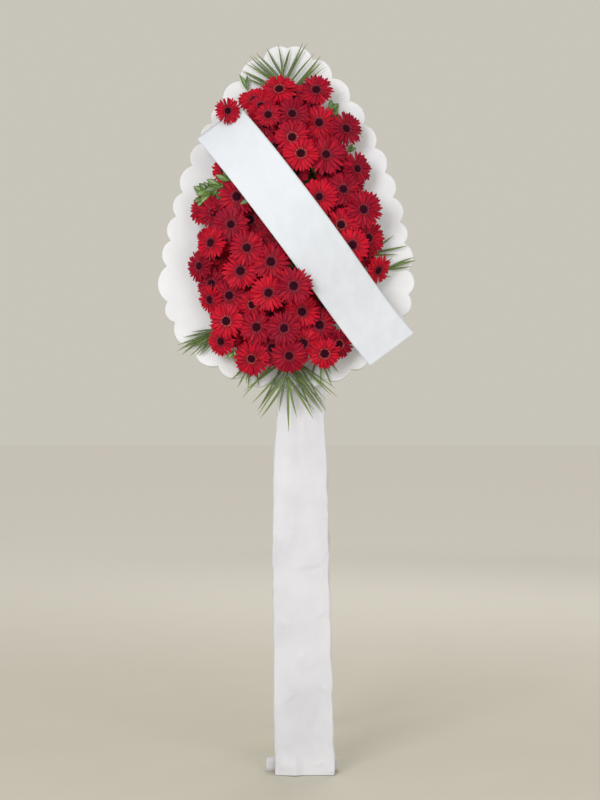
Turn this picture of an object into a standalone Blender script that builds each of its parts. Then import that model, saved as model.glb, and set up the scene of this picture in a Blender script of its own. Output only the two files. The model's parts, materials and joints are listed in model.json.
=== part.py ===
"""A standing funeral wreath: red gerberas on a scalloped foam board, on a cloth-covered leg.

Metres, +Z up, the flowers facing -Y. The origin is on the floor, under the foot batten.
The stand leans back, and the wreath's own pieces are laid out flat on its board: x to the
right, y up the board and z out towards the viewer, from the middle of the flower field.
"""

import math
import random

import bmesh
import bpy
from mathutils import Matrix, Vector

MM = 0.001
GAP = 0.3 * MM
FULL_TURN = 2 * math.pi

# The stand, along its own leaning height
LEAN = math.radians(5)
POST_WIDTH = 22 * MM
POST_DEPTH = 35 * MM
POST_HEIGHT = 1.75
LEFT_POST = (-60 * MM, -52 * MM)
RIGHT_POST = (69 * MM, 22 * MM)
BATTEN_HEIGHT = 36 * MM
BATTEN_DEPTH = 24 * MM
BATTEN_ENDS = (-98 * MM, 90 * MM)
RUNG = 20 * MM
RUNG_HEIGHTS = {"rung_low": 0.30, "rung_middle": 0.88, "rung_top": 1.70}
HINGE_BOARD_HEIGHT = 100 * MM
CLOTH = 1.4 * MM

# The rear prop leg and its hinge
PIN_HEIGHT = 1.27
PIN_BEHIND_POSTS = 4.3 * MM
PIN_RADIUS = 1.5 * MM
PROP_OPEN = math.radians(19)
PROP_WIDTH = 40 * MM
PROP_DEPTH = 20 * MM
PROP_ABOVE_PIN = 24.6 * MM
PROP_BELOW_PIN = 1.40
KNUCKLE = 3.5 * MM
HINGE_WIDTH = 50 * MM
LEAF_LENGTH = 42 * MM
LEAF_THICK = 1.5 * MM

# The wreath's board, its pad and the middle of its flower field
BOARD_THICK = 30 * MM
BOARD_BEFORE_POSTS = 2 * MM
FIELD_ACROSS = -43.3 * MM
FIELD_UP = 1.50
EGG_CENTRE = -158 * MM
EGG_HALF_WIDTH = 338 * MM
EGG_ABOVE = 672 * MM
EGG_BELOW = 275 * MM
EGG_TOP_POWER = 1.62
LOBE_RISE = 0.26
LOBE_STEPS = 5
LOBE_WIDTHS = (
    78, 78, 82, 78, 73, 76, 74, 73, 61, 77, 68, 63, 76, 76, 58, 77, 75,
    76, 79, 74, 83, 90, 62, 101, 73, 70, 70, 81, 69, 65, 64, 80, 92, 74,
)
PAD_HALF_WIDTH = 190 * MM
PAD_HALF_HEIGHT = 330 * MM
PAD_THICK = 42 * MM
PAD_ROUNDING = 16 * MM

# The flower field: a low dome of blooms that rest on each other
FIELD_HALF_WIDTH = 270 * MM
FIELD_HALF_HEIGHT = 420 * MM
DOME_EDGE = 68 * MM
DOME_RISE = 26 * MM
DOME_SLOPE = 0.17
VIEW_HEIGHT = 80 * MM
VIEW_DISTANCE = 4.1
VIEW_BELOW = 0.48
RIM_ABOVE_PAD = 6 * MM
RIM_ABOVE_BOARD = 24 * MM
LAYER_GAP = 7.5 * MM
SINK_IN_BUNCH = 9 * MM
CUP_DEPTH = 6 * MM
STEM_RADIUS = 2.4 * MM
STEM_NECK = 17 * MM
STEM_ROOM = 2.2 * MM
PICK_RADIUS = 3.0 * MM
HOLE_RADIUS = 3.6 * MM
PICK_TOP = PAD_THICK + 11 * MM
PICK_FOOT = 12 * MM
PICK_REACH = 0.84
PICK_SPACING = 10 * MM
BUNCHES = 27
MOST_IN_BUNCH = 4

# x, y and radius in millimetres, the layer from the back, and the bloom's turn: how many
# degrees, towards which side (0 is right, 90 up)
BLOOMS = (
    (-22, 372, 50, 1, 12, 90), (80, 370, 48, 1, 5, 60), (-91, 342, 46, 0, 24, 120),
    (-163, 311, 37, 9, 24, -40), (-72, 325, 33, 1, 0, 0), (-52, 300, 36, 2, 0, 0),
    (-86, 304, 24, 0, 0, 0), (14, 303, 50, 2, 0, 0), (88, 278, 50, 0, 0, 0),
    (162, 261, 52, 1, 30, 20), (14, 236, 50, 3, 0, 0), (38, 191, 50, 4, 0, 0),
    (107, 188, 57, 3, 0, 0), (192, 149, 47, 1, 28, 0), (154, 91, 50, 1, 0, 0),
    (88, 71, 52, 2, 0, 0), (209, 35, 55, 2, 8, 0), (148, -7, 50, 1, 0, 0),
    (179, -63, 50, 2, 0, 0), (223, -43, 55, 0, 30, 0), (206, -93, 40, 0, 0, 0),
    (248, -133, 45, 1, 45, -50), (143, 146, 34, 0, 0, 0), (19, 356, 34, 0, 0, 0),
    (25, 138, 36, 0, 0, 0), (-33, 213, 36, 0, 0, 0), (-60, 269, 33, 0, 0, 0),
    (-171, 146, 39, 0, 10, 180), (-138, 77, 55, 2, 0, 0), (-201, 27, 44, 1, 0, 0),
    (-231, 38, 47, 0, 32, 165), (-154, -1, 50, 2, 0, 0), (-102, 18, 47, 0, 0, 0),
    (-69, -43, 30, 0, 0, 0), (-209, -52, 47, 2, 30, 180), (-110, -66, 50, 2, 0, 0),
    (-179, -49, 39, 0, 0, 0), (-239, -121, 44, 1, 30, 190), (-44, -105, 54, 2, 0, 0),
    (-127, -130, 50, 3, 0, 0), (-83, -144, 36, 1, 0, 0), (-206, -169, 44, 0, 14, 180),
    (-157, -202, 50, 1, 0, 0), (-50, -191, 50, 3, 0, 0), (-209, -213, 41, 1, 28, 200),
    (19, -172, 52, 9, 14, 180), (-94, -227, 41, 1, 0, 0), (-165, -272, 48, 3, 0, 0),
    (-83, -289, 48, 2, 0, 0), (-8, -292, 48, 3, 0, 0), (41, -247, 50, 3, 0, 0),
    (11, -250, 28, 1, 0, 0), (88, -283, 50, 1, 0, 0), (44, -333, 52, 1, 0, 0),
    (-41, -345, 50, 1, 0, 0), (6, -367, 52, 2, 12, -90), (-96, -375, 50, 2, 14, -110),
    (102, -361, 44, 2, 10, -90), (140, -336, 44, 1, 12, -45), (-179, -328, 41, 0, 24, -130),
    (-110, 191, 46, 0, 0, 0), (-69, 113, 46, 0, 0, 0), (-11, 54, 46, 0, 0, 0),
    (36, -21, 46, 0, 0, 0), (-33, -21, 44, 0, 0, 0), (85, -93, 46, 0, 0, 0),
    (137, -169, 46, 0, 0, 0),
)

# The band: its middle line across the board and its height above it, along its length
BAND_WIDTH = 148 * MM
BAND_THICK = 1.0 * MM
BAND_START = (-190 * MM, 278 * MM)
BAND_END = (282 * MM, -356 * MM)
BAND_ROWS = 22
BAND_ARCH = (
    (0, 79.4), (8, 113.4), (20, 141.4), (36, 155.4), (50, 155.4), (62, 141.4), (72, 119.4), (82, 103.4),
    (90, 103.4), (100, 121.4),
)

# Fronds, in millimetres and degrees: the rib's root and tip, then one row a leaflet with
# its distance down from the rib's tip, its turn from the rib (left positive) and its length
FRONDS = {
    "frond_top": ((-10, 285), (-10, 446), (
        (1, -15, 72), (20, 29, 100), (30, -25, 128), (38, 46, 124), (48, -27, 146), (52, 55, 132),
        (60, -38, 142), (68, 60, 138), (78, -40, 158), (88, -43, 156), (98, -36, 176), (106, -44, 168),
    )),
    "frond_bottom": ((2, -285), (2, -428), (
        (0, 1, 146), (6, -34, 136), (8, 31, 138), (18, -35, 142), (20, 40, 148), (30, -36, 146),
        (34, 38, 156), (44, -42, 150), (52, 37, 178), (62, -52, 156), (66, 50, 182), (80, 44, 172),
        (84, -43, 186), (92, 31, 202),
    )),
    "frond_bottom_left": ((-56, -262), (-106, -392), (
        (0, -8, 66), (12, -28, 74), (24, 8, 72), (38, 30, 96), (52, 3, 60), (64, -26, 70),
    )),
    "frond_bottom_right": ((60, -262), (98, -376), (
        (2, -20, 76), (14, 12, 60), (30, -34, 92), (46, 10, 72), (58, -24, 64),
    )),
    "frond_left": ((-92, -256), (-214, -298), (
        (0, 0, 98), (10, 8, 96), (16, -9, 92), (28, 12, 98), (36, -14, 88), (50, 13, 94), (60, -30, 62),
    )),
    "frond_right_upper": ((152, -86), (238, -72), (
        (2, 3, 106), (10, 27, 90), (20, -9, 92), (34, 30, 84), (48, -24, 70),
    )),
    "frond_right_lower": ((140, -152), (292, -112), (
        (0, 1, 72), (12, 8, 84), (18, -8, 76), (44, 26, 60), (60, -26, 58),
    )),
}
RIB_RADIUS = 2.2 * MM
RIB_HOLE = 2.9 * MM
RIB_ROOT_HEIGHT = 13 * MM
RIB_TIP_HEIGHT = 9 * MM
LEAFLET_WIDTH = 7 * MM
LEAFLET_THICK = 1.4 * MM
LEAFLET_DROOP = 3 * MM
BLADE_ROOT = 3 * MM

# Twigs of broad leaves: root and tip, then one row a leaf as above, with its width
SPRIGS = {
    "sprig_left": ((-146, 58), (-226, 96), (
        (0, -4, 44, 17), (14, 32, 40, 18), (22, -42, 42, 17), (32, 46, 36, 17),
    )),
    "sprig_right": ((62, 256), (126, 326), (
        (0, 8, 34, 14), (18, -46, 40, 15), (40, -62, 44, 15),
    )),
    "sprig_crown": ((-52, 284), (-112, 388), (
        (0, -4, 56, 14), (30, 34, 40, 13),
    )),
}
TWIG_RADIUS = 1.8 * MM
LEAF_BLADE_THICK = 1.2 * MM

# Board screws, on the posts at these heights
SCREW_HEIGHTS = (1.24, 1.62)
WASHER_RADIUS = 9 * MM
WASHER_THICK = 1.5 * MM
SCREW_RADIUS = 2.0 * MM
SCREW_ROOM = 0.6 * MM
SCREW_IN_POST = 20 * MM


def make_material(name, colour, roughness, metallic=0.0):
    finish = bpy.data.materials.new(name)
    finish.use_nodes = True
    shader = finish.node_tree.nodes["Principled BSDF"]
    shader.inputs["Base Color"].default_value = (*colour, 1.0)
    shader.inputs["Roughness"].default_value = roughness
    shader.inputs["Metallic"].default_value = metallic
    finish.diffuse_color = (*colour, 1.0)
    return finish


def make_materials():
    return {
        "wood": make_material("pine", (0.62, 0.45, 0.27), 0.7),
        "cloth": make_material("white_nonwoven", (0.80, 0.79, 0.80), 0.9),
        "board": make_material("white_eps", (0.82, 0.81, 0.80), 0.8),
        "foam": make_material("green_floral_foam", (0.05, 0.10, 0.05), 0.95),
        "petal": make_material("red_petals", (0.52, 0.01, 0.03), 0.5),
        "frond": make_material("palm_green", (0.15, 0.24, 0.07), 0.45),
        "leaf": make_material("leaf_green", (0.12, 0.20, 0.05), 0.35),
        "band": make_material("white_band", (0.84, 0.85, 0.87), 0.6),
        "steel": make_material("zinc_plated_steel", (0.60, 0.60, 0.58), 0.35, 1.0),
    }


def new_collection(name):
    collection = bpy.data.collections.new(name)
    bpy.context.scene.collection.children.link(collection)
    return collection


def mesh_from(bm, name):
    mesh = bpy.data.meshes.new(name)
    bmesh.ops.recalc_face_normals(bm, faces=bm.faces)
    bm.to_mesh(mesh)
    bm.free()
    return mesh


class Builder:
    """Puts finished meshes in the wreath's collection, and cutters in their own."""

    def __init__(self):
        self.parts = new_collection("funeral_wreath")
        self.cutters = new_collection("cutters")
        self.finishes = make_materials()

    def place(self, name, mesh, parent, finish):
        obj = bpy.data.objects.new(name, mesh)
        mesh.materials.clear()
        mesh.materials.append(self.finishes[finish])
        obj.parent = parent
        self.parts.objects.link(obj)
        return obj

    def place_cutter(self, name, mesh, parent):
        obj = bpy.data.objects.new(name, mesh)
        obj.parent = parent
        obj.hide_render = True
        obj.display_type = "WIRE"
        self.cutters.objects.link(obj)
        return obj

    def empty(self, name, parent=None, location=(0, 0, 0), turn=(0, 0, 0)):
        obj = bpy.data.objects.new(name, None)
        obj.parent = parent
        obj.location = location
        obj.rotation_euler = turn
        self.parts.objects.link(obj)
        return obj


def cut(obj, cutter):
    """Takes an object, or all the objects of a collection, out of obj."""
    modifier = obj.modifiers.new("Cut", "BOOLEAN")
    modifier.operation = "DIFFERENCE"
    if isinstance(cutter, bpy.types.Collection):
        modifier.operand_type = "COLLECTION"
        modifier.collection = cutter
    else:
        modifier.object = cutter


def box_mesh(name, low, high):
    bm = bmesh.new()
    size = Vector(high) - Vector(low)
    middle = (Vector(high) + Vector(low)) / 2
    bmesh.ops.create_cube(bm, size=1, matrix=Matrix.Translation(middle) @ Matrix.Diagonal((*size, 1)))
    return mesh_from(bm, name)


def rod_mesh(name, start, end, radius, sides):
    """A straight rod between two points, with flat ends."""
    bm = bmesh.new()
    along = Vector(end) - Vector(start)
    turn = Vector((0, 0, 1)).rotation_difference(along).to_matrix().to_4x4()
    place = Matrix.Translation((Vector(start) + Vector(end)) / 2) @ turn
    bmesh.ops.create_cone(
        bm, cap_ends=True, segments=sides, radius1=radius, radius2=radius, depth=along.length, matrix=place
    )
    return mesh_from(bm, name)


def curve_mesh(name, curve):
    """The closed mesh of a curve, with its loose caps welded."""
    obj = bpy.data.objects.new(name, curve)
    bpy.context.scene.collection.objects.link(obj)
    bpy.context.view_layer.update()
    mesh = bpy.data.meshes.new_from_object(obj.evaluated_get(bpy.context.evaluated_depsgraph_get()))
    bpy.data.objects.remove(obj)
    bpy.data.curves.remove(curve)
    bm = bmesh.new()
    bm.from_mesh(mesh)
    bpy.data.meshes.remove(mesh)
    bmesh.ops.remove_doubles(bm, verts=bm.verts, dist=0.01 * MM)
    return mesh_from(bm, name)


def wire_mesh(name, points, radii, resolution):
    """A bent wire through the points, as a curve with a round bevel."""
    curve = bpy.data.curves.new(name, "CURVE")
    curve.dimensions = "3D"
    curve.bevel_depth = 1.0
    curve.bevel_resolution = resolution
    curve.use_fill_caps = True
    spline = curve.splines.new("POLY")
    spline.points.add(len(points) - 1)
    for knot, point, radius in zip(spline.points, points, radii):
        knot.co = (*point, 1)
        knot.radius = radius
    return curve_mesh(name, curve)


def triangulated(mesh):
    """Splits the mesh's faces into triangles. Returns whether each edge still has two faces."""
    bm = bmesh.new()
    bm.from_mesh(mesh)
    bmesh.ops.triangulate(bm, faces=bm.faces, ngon_method="EAR_CLIP")
    bm.to_mesh(mesh)
    closed = all(len(edge.link_faces) == 2 for edge in bm.edges)
    bm.free()
    return closed


def fused_mesh(name, meshes):
    """One body from closed meshes that overlap, by a Boolean union on their collection."""
    for mesh in meshes:
        triangulated(mesh)
    heap = new_collection(name + "_pieces")
    pieces = [bpy.data.objects.new(name, mesh) for mesh in meshes]
    bpy.context.scene.collection.objects.link(pieces[0])
    for piece in pieces[1:]:
        heap.objects.link(piece)
    union = pieces[0].modifiers.new("Union", "BOOLEAN")
    union.operation = "UNION"
    union.operand_type = "COLLECTION"
    union.collection = heap
    for solver in ("MANIFOLD", "EXACT"):
        union.solver = solver
        bpy.context.view_layer.update()
        graph = bpy.context.evaluated_depsgraph_get()
        mesh = bpy.data.meshes.new_from_object(pieces[0].evaluated_get(graph))
        if triangulated(mesh):
            break
    for piece in pieces:
        bpy.data.objects.remove(piece)
    bpy.data.collections.remove(heap)
    mesh.name = name
    return mesh


def at_height(ends, height):
    """A leaning post's middle across the stand, at a height along it."""
    return ends[0] + (ends[1] - ends[0]) * height / POST_HEIGHT


# Stand


def make_posts(build, frame, floor_cutter):
    for name, ends in (("post_left", LEFT_POST), ("post_right", RIGHT_POST)):
        slope = math.atan2(ends[1] - ends[0], POST_HEIGHT)
        mesh = box_mesh(
            name,
            (-POST_WIDTH / 2, -POST_DEPTH / 2, -40 * MM),
            (POST_WIDTH / 2, POST_DEPTH / 2, POST_HEIGHT),
        )
        post = build.place(name, mesh, frame, "wood")
        post.location.x = ends[0]
        post.rotation_euler.y = slope
        cut(post, floor_cutter)
        cut(post, build.screw_cutters)


def between_posts(height, half_height):
    """How far a cross piece may reach to the left and right post, at its tightest."""
    left = max(at_height(LEFT_POST, height + side * half_height) for side in (-1, 1))
    right = min(at_height(RIGHT_POST, height + side * half_height) for side in (-1, 1))
    return left + POST_WIDTH / 2 + GAP, right - POST_WIDTH / 2 - GAP


def make_rungs(build, frame):
    for name, height in RUNG_HEIGHTS.items():
        left, right = between_posts(height, RUNG / 2)
        mesh = box_mesh(name, (left, -RUNG / 2, height - RUNG / 2), (right, RUNG / 2, height + RUNG / 2))
        build.place(name, mesh, frame, "wood")
    low = PIN_HEIGHT - HINGE_BOARD_HEIGHT / 2 - 5 * MM
    left, right = between_posts(low + HINGE_BOARD_HEIGHT / 2, HINGE_BOARD_HEIGHT / 2)
    mesh = box_mesh(
        "hinge_board", (left, POST_DEPTH / 2 - RUNG, low), (right, POST_DEPTH / 2, low + HINGE_BOARD_HEIGHT)
    )
    build.place("hinge_board", mesh, frame, "wood")


def make_foot(build, frame, floor_cutter):
    """The batten behind the posts' feet, and the cloth caps over its two ends."""
    near = POST_DEPTH / 2 + GAP
    far = near + BATTEN_DEPTH
    mesh = box_mesh("foot_batten", (BATTEN_ENDS[0], near, -40 * MM), (BATTEN_ENDS[1], far, BATTEN_HEIGHT))
    cut(build.place("foot_batten", mesh, frame, "wood"), floor_cutter)
    hem = 5 * MM
    room = GAP + CLOTH
    for name, tip, inner in (
        ("foot_cloth_left", BATTEN_ENDS[0], -76 * MM),
        ("foot_cloth_right", BATTEN_ENDS[1], 84.5 * MM),
    ):
        out = math.copysign(1, tip)
        across = sorted((inner, tip + out * room))
        cap = box_mesh(name, (across[0], near - 0.2 * MM, hem), (across[1], far + room, BATTEN_HEIGHT + room))
        hollow_across = sorted((inner - out * 20 * MM, tip + out * GAP))
        hollow = box_mesh(
            name + "_hollow",
            (hollow_across[0], near - 20 * MM, -40 * MM),
            (hollow_across[1], far + GAP, BATTEN_HEIGHT + GAP),
        )
        cut(build.place(name, cap, frame, "cloth"), build.place_cutter(name + "_hollow", hollow, frame))


# The cloth's outline: height at its front and back, its left and right edge, its front
# and its back, in millimetres
COVER_RINGS = (
    (5, 42, -76, 84, -24, 23),
    (34, 62, -75, 84, -23.5, 22),
    (120, 130, -77, 81, -22.5, 21.5),
    (300, 300, -78, 77, -22, 21.5),
    (470, 470, -80, 72.5, -22, 21),
    (590, 590, -80.5, 70, -22, 21),
    (760, 760, -79.5, 66.5, -21.5, 20.5),
    (880, 880, -78, 63, -20.5, 20.2),
    (975, 975, -69.5, 57.5, -19.6, 19.6),
    (1085, 1085, -68.5, 56.5, -19.3, 19.3),
)
COVER_CORNER = 0.1


def cover_ring(front_height, back_height, left, right, front, back):
    """Twelve points round the leg, three to a corner, the back ones at their own height."""
    middle = Vector(((left + right) / 2, (front + back) / 2))
    half = Vector(((right - left) / 2, (back - front) / 2))
    corner = half.y * COVER_CORNER
    points = []
    for quarter in range(4):
        sign = Vector(((1, -1, -1, 1)[quarter], (1, 1, -1, -1)[quarter]))
        for step in range(3):
            angle = math.radians(90 * quarter + 45 * step)
            x = middle.x + sign.x * (half.x - corner) + corner * math.cos(angle)
            y = middle.y + sign.y * (half.y - corner) + corner * math.sin(angle)
            share = (y - front) / (back - front)
            points.append(Vector((x, y, front_height + (back_height - front_height) * share)) * MM)
    return points


def make_leg_cover(build, frame):
    """A cloth tube round the posts: a loft of slightly uneven rings, given its thickness."""
    bm = bmesh.new()
    rings = [[bm.verts.new(point) for point in cover_ring(*row)] for row in COVER_RINGS]
    for lower, upper in zip(rings, rings[1:]):
        for k, corner in enumerate(lower):
            after = (k + 1) % len(lower)
            bm.faces.new((corner, lower[after], upper[after], upper[k]))
    cover = build.place("leg_cover", mesh_from(bm, "leg_cover"), frame, "cloth")
    shell = cover.modifiers.new("Cloth", "SOLIDIFY")
    shell.thickness = CLOTH
    shell.offset = -1
    shell.use_even_offset = True


def make_prop(build, pivot, frame, floor_cutter):
    """The rear leg and its butt hinge, round a pivot on the hinge pin."""
    front = PIN_BEHIND_POSTS
    middle = (at_height(LEFT_POST, PIN_HEIGHT) + at_height(RIGHT_POST, PIN_HEIGHT)) / 2
    mesh = box_mesh(
        "prop_leg", (-PROP_WIDTH / 2, front, -PROP_BELOW_PIN), (PROP_WIDTH / 2, front + PROP_DEPTH, PROP_ABOVE_PIN)
    )
    cut(build.place("prop_leg", mesh, pivot, "wood"), floor_cutter)

    pin_at = Vector((middle, POST_DEPTH / 2 + PIN_BEHIND_POSTS, PIN_HEIGHT))
    half = HINGE_WIDTH / 2
    bore = PIN_RADIUS + GAP
    third = HINGE_WIDTH / 3

    def knuckle(name, start, end, at):
        return rod_mesh(name, at + Vector((start, 0, 0)), at + Vector((end, 0, 0)), KNUCKLE, 12)

    here = Vector((0, 0, 0))
    clear = KNUCKLE + 0.6 * MM
    inset = 0.1 * MM
    plate = box_mesh(
        "leaf", (-PROP_WIDTH / 2, front - GAP - LEAF_THICK, -LEAF_LENGTH), (PROP_WIDTH / 2, front - GAP, -clear)
    )
    reach = third / 2 - GAP
    tongue = box_mesh(
        "tongue",
        (inset - reach, front - GAP - LEAF_THICK + inset, -LEAF_LENGTH / 2),
        (reach - inset, front - GAP - inset, 0),
    )
    barrel = knuckle("barrel", -reach, reach, here)
    leaf = build.place("hinge_leaf_prop", fused_mesh("hinge_leaf_prop", [plate, tongue, barrel]), pivot, "steel")
    cut(leaf, build.place_cutter("prop_bore", rod_mesh("bore", (-half, 0, 0), (half, 0, 0), bore, 12), pivot))

    back = POST_DEPTH / 2 + GAP
    pieces = [
        box_mesh(
            "leaf",
            (middle - half + 5 * MM, back, PIN_HEIGHT - LEAF_LENGTH),
            (middle + half - 5 * MM, back + LEAF_THICK, PIN_HEIGHT - clear),
        )
    ]
    for start, end in ((-half, -third / 2 - GAP), (third / 2 + GAP, half)):
        pieces.append(knuckle("barrel", start, end, pin_at))
        pieces.append(
            box_mesh(
                "tongue",
                (middle + start + inset, back + inset, PIN_HEIGHT - LEAF_LENGTH / 2),
                (middle + end - inset, back + LEAF_THICK - inset, PIN_HEIGHT),
            )
        )
    leaf = build.place("hinge_leaf_frame", fused_mesh("hinge_leaf_frame", pieces), frame, "steel")
    across = Vector((half + 1 * MM, 0, 0))
    cut(
        leaf,
        build.place_cutter("frame_bore", rod_mesh("bore", pin_at - across, pin_at + across, bore, 12), frame),
    )
    build.place("hinge_pin", rod_mesh("hinge_pin", pin_at - across, pin_at + across, PIN_RADIUS, 12), frame, "steel")


# Board and foam


def egg_point(turn):
    """A point on the egg that the lobes' notches lie on, turning clockwise from the top."""
    across, up = math.sin(turn), math.cos(turn)
    if up > 0:
        share = 2 / EGG_TOP_POWER
        x = math.copysign(abs(across) ** share, across)
        return Vector((x * EGG_HALF_WIDTH, EGG_CENTRE + up**share * EGG_ABOVE))
    return Vector((across * EGG_HALF_WIDTH, EGG_CENTRE + up * EGG_BELOW))


def lobe_notches():
    """The notches, spaced round the egg by the hand-cut lobes' widths."""
    count = 720
    ring = [egg_point(FULL_TURN * k / count) for k in range(count + 1)]
    walked = [0.0]
    for start, end in zip(ring, ring[1:]):
        walked.append(walked[-1] + (end - start).length)
    total = sum(LOBE_WIDTHS)
    notches = []
    passed = 0
    for width in LOBE_WIDTHS:
        target = walked[-1] * passed / total
        k = next(k for k in range(count) if walked[k + 1] >= target)
        share = (target - walked[k]) / (walked[k + 1] - walked[k])
        notches.append(ring[k].lerp(ring[k + 1], share))
        passed += width
    return notches


def lobe_arc(start, end):
    """A round lobe between two notches, without its last point."""
    chord = end - start
    rise = LOBE_RISE * chord.length
    radius = (chord.length**2 / 4 + rise**2) / (2 * rise)
    outward = Vector((-chord.y, chord.x)).normalized()
    centre = (start + end) / 2 + outward * (rise - radius)
    half = math.asin(min(1, chord.length / 2 / radius))
    for step in range(LOBE_STEPS):
        angle = half * (2 * step / LOBE_STEPS - 1)
        yield centre + radius * (outward * math.cos(angle) + chord.normalized() * math.sin(angle))


def make_board(build, wreath):
    notches = lobe_notches()
    outline = []
    for start, end in zip(notches, notches[1:] + notches[:1]):
        outline.extend(lobe_arc(start, end))
    curve = bpy.data.curves.new("foam_board", "CURVE")
    curve.dimensions = "2D"
    curve.fill_mode = "BOTH"
    curve.extrude = BOARD_THICK / 2
    spline = curve.splines.new("POLY")
    spline.points.add(len(outline) - 1)
    spline.use_cyclic_u = True
    for knot, point in zip(spline.points, outline):
        knot.co = (*point, 0, 1)
    board = build.place("foam_board", curve_mesh("foam_board", curve), wreath, "board")
    board.location.z = -BOARD_THICK / 2
    cut(board, build.screw_cutters)


def make_screws(build, frame, wreath_front):
    """Screws through the board into the posts, each with a broad washer let into the board."""
    build.screw_cutters = bpy.data.collections.new("screw_holes")
    build.cutters.children.link(build.screw_cutters)
    deep = -POST_DEPTH / 2 + SCREW_IN_POST
    places = [(at_height(post, height), height) for height in SCREW_HEIGHTS for post in (LEFT_POST, RIGHT_POST)]
    for number, (x, z) in enumerate(places, 1):
        face = wreath_front + GAP
        washer = rod_mesh("washer", (x, face, z), (x, face + WASHER_THICK, z), WASHER_RADIUS, 12)
        shank = rod_mesh("shank", (x, face + 0.5 * MM, z), (x, deep, z), SCREW_RADIUS, 8)
        name = f"board_screw_{number}"
        build.place(name, fused_mesh(name, [washer, shank]), frame, "steel")
        seat = face + WASHER_THICK + GAP
        room = WASHER_RADIUS + SCREW_ROOM
        recess = rod_mesh("recess", (x, wreath_front - 5 * MM, z), (x, seat, z), room, 12)
        hole = rod_mesh("hole", (x, seat - 1 * MM, z), (x, deep + GAP, z), SCREW_RADIUS + SCREW_ROOM, 8)
        cutter = build.place_cutter(f"screw_hole_{number}", fused_mesh("screw_hole", [recess, hole]), frame)
        build.cutters.objects.unlink(cutter)
        build.screw_cutters.objects.link(cutter)


def make_pad(build, wreath, holes):
    bm = bmesh.new()
    bmesh.ops.create_cone(bm, cap_ends=True, segments=28, radius1=1, radius2=1, depth=1)
    thick = PAD_THICK - GAP
    size = Matrix.Diagonal((PAD_HALF_WIDTH, PAD_HALF_HEIGHT, thick, 1))
    bmesh.ops.transform(bm, verts=bm.verts, matrix=Matrix.Translation((0, 0, GAP + thick / 2)) @ size)
    top = [edge for edge in bm.edges if all(v.co.z > thick for v in edge.verts)]
    bmesh.ops.bevel(bm, geom=top, offset=PAD_ROUNDING, segments=2, profile=0.5, affect="EDGES")
    pad = build.place("floral_foam", mesh_from(bm, "floral_foam"), wreath, "foam")
    cutters = bpy.data.collections.new("stem_holes")
    build.cutters.children.link(cutters)
    for number, mesh in enumerate(holes, 1):
        cutter = build.place_cutter(f"stem_hole_{number}", mesh, wreath)
        build.cutters.objects.unlink(cutter)
        cutters.objects.link(cutter)
    cut(pad, cutters)


def pad_share(x, y):
    """How far out on the pad a point lies: 0 in its middle, 1 on its edge."""
    return math.hypot(x / PAD_HALF_WIDTH, y / PAD_HALF_HEIGHT)


# Blooms


class Bloom:
    """A gerbera's flat disc: its place on the board, the way it faces and its height."""

    def __init__(self, x, y, radius, layer, turn, towards):
        self.x, self.y, self.radius = x * MM, y * MM, radius * MM
        self.seen = (self.x, self.y)
        self.layer = layer
        slope = math.tan(math.radians(turn))
        side = math.radians(towards)
        self.normal = Vector((
            DOME_SLOPE * self.x / FIELD_HALF_WIDTH + slope * math.cos(side),
            DOME_SLOPE * self.y / FIELD_HALF_HEIGHT + slope * math.sin(side),
            1,
        )).normalized()
        self.turn = Vector((0, 0, 1)).rotation_difference(self.normal)
        self.samples = [
            self.turn @ Vector((math.cos(a), math.sin(a), 0)) * (self.radius * share)
            for share in (1.0, 0.7, 0.4)
            for a in (FULL_TURN * k / 18 for k in range(18))
        ]
        self.height = 0.0

    def rise_at(self, x, y):
        """How much higher than its middle the disc is over a point, or None beside it."""
        across = Vector((x - self.x, y - self.y, 0))
        across.z = -(self.normal.x * across.x + self.normal.y * across.y) / self.normal.z
        return across.z if across.length <= self.radius else None

    def move_for_view(self):
        """Shifts the bloom so that, at its height, it is seen where its row places it."""
        extra = self.height - VIEW_HEIGHT
        x, y = self.seen
        self.x = x * (1 - extra / VIEW_DISTANCE)
        self.y = y - extra * (math.tan(LEAN) + (VIEW_BELOW + y) / VIEW_DISTANCE)

    def centre(self):
        return Vector((self.x, self.y, self.height))


def ground_height(x, y):
    """What a petal has to stay above where no other bloom is: the pad, or the fronds."""
    return PAD_THICK + RIM_ABOVE_PAD if pad_share(x, y) < 1 else RIM_ABOVE_BOARD


def band_height(x, y):
    """The band's height over a point of the board, or None beside it."""
    start, end = Vector(BAND_START), Vector(BAND_END)
    along = (end - start).normalized()
    offset = Vector((x, y)) - start
    share = offset.dot(along) / (end - start).length
    if not 0 <= share <= 1 or abs(offset.dot(Vector((-along.y, along.x)))) > BAND_WIDTH / 2:
        return None
    return arch_height(share)


def arch_height(share):
    """The band's height at a share of its length, a smooth curve through BAND_ARCH."""
    place = share * 100
    last = len(BAND_ARCH) - 1
    k = next(k for k in range(last) if place <= BAND_ARCH[k + 1][0] or k == last - 1)
    before, here, after, beyond = (BAND_ARCH[min(max(k + step, 0), last)] for step in (-1, 0, 1, 2))
    width = after[0] - here[0]
    t = (place - here[0]) / width
    slope_here = (after[1] - before[1]) / (after[0] - before[0]) * width
    slope_after = (beyond[1] - here[1]) / (beyond[0] - here[0]) * width
    height = (
        (2 * t**3 - 3 * t**2 + 1) * here[1]
        + (t**3 - 2 * t**2 + t) * slope_here
        + (3 * t**2 - 2 * t**3) * after[1]
        + (t**3 - t**2) * slope_after
    )
    return height * MM


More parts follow.
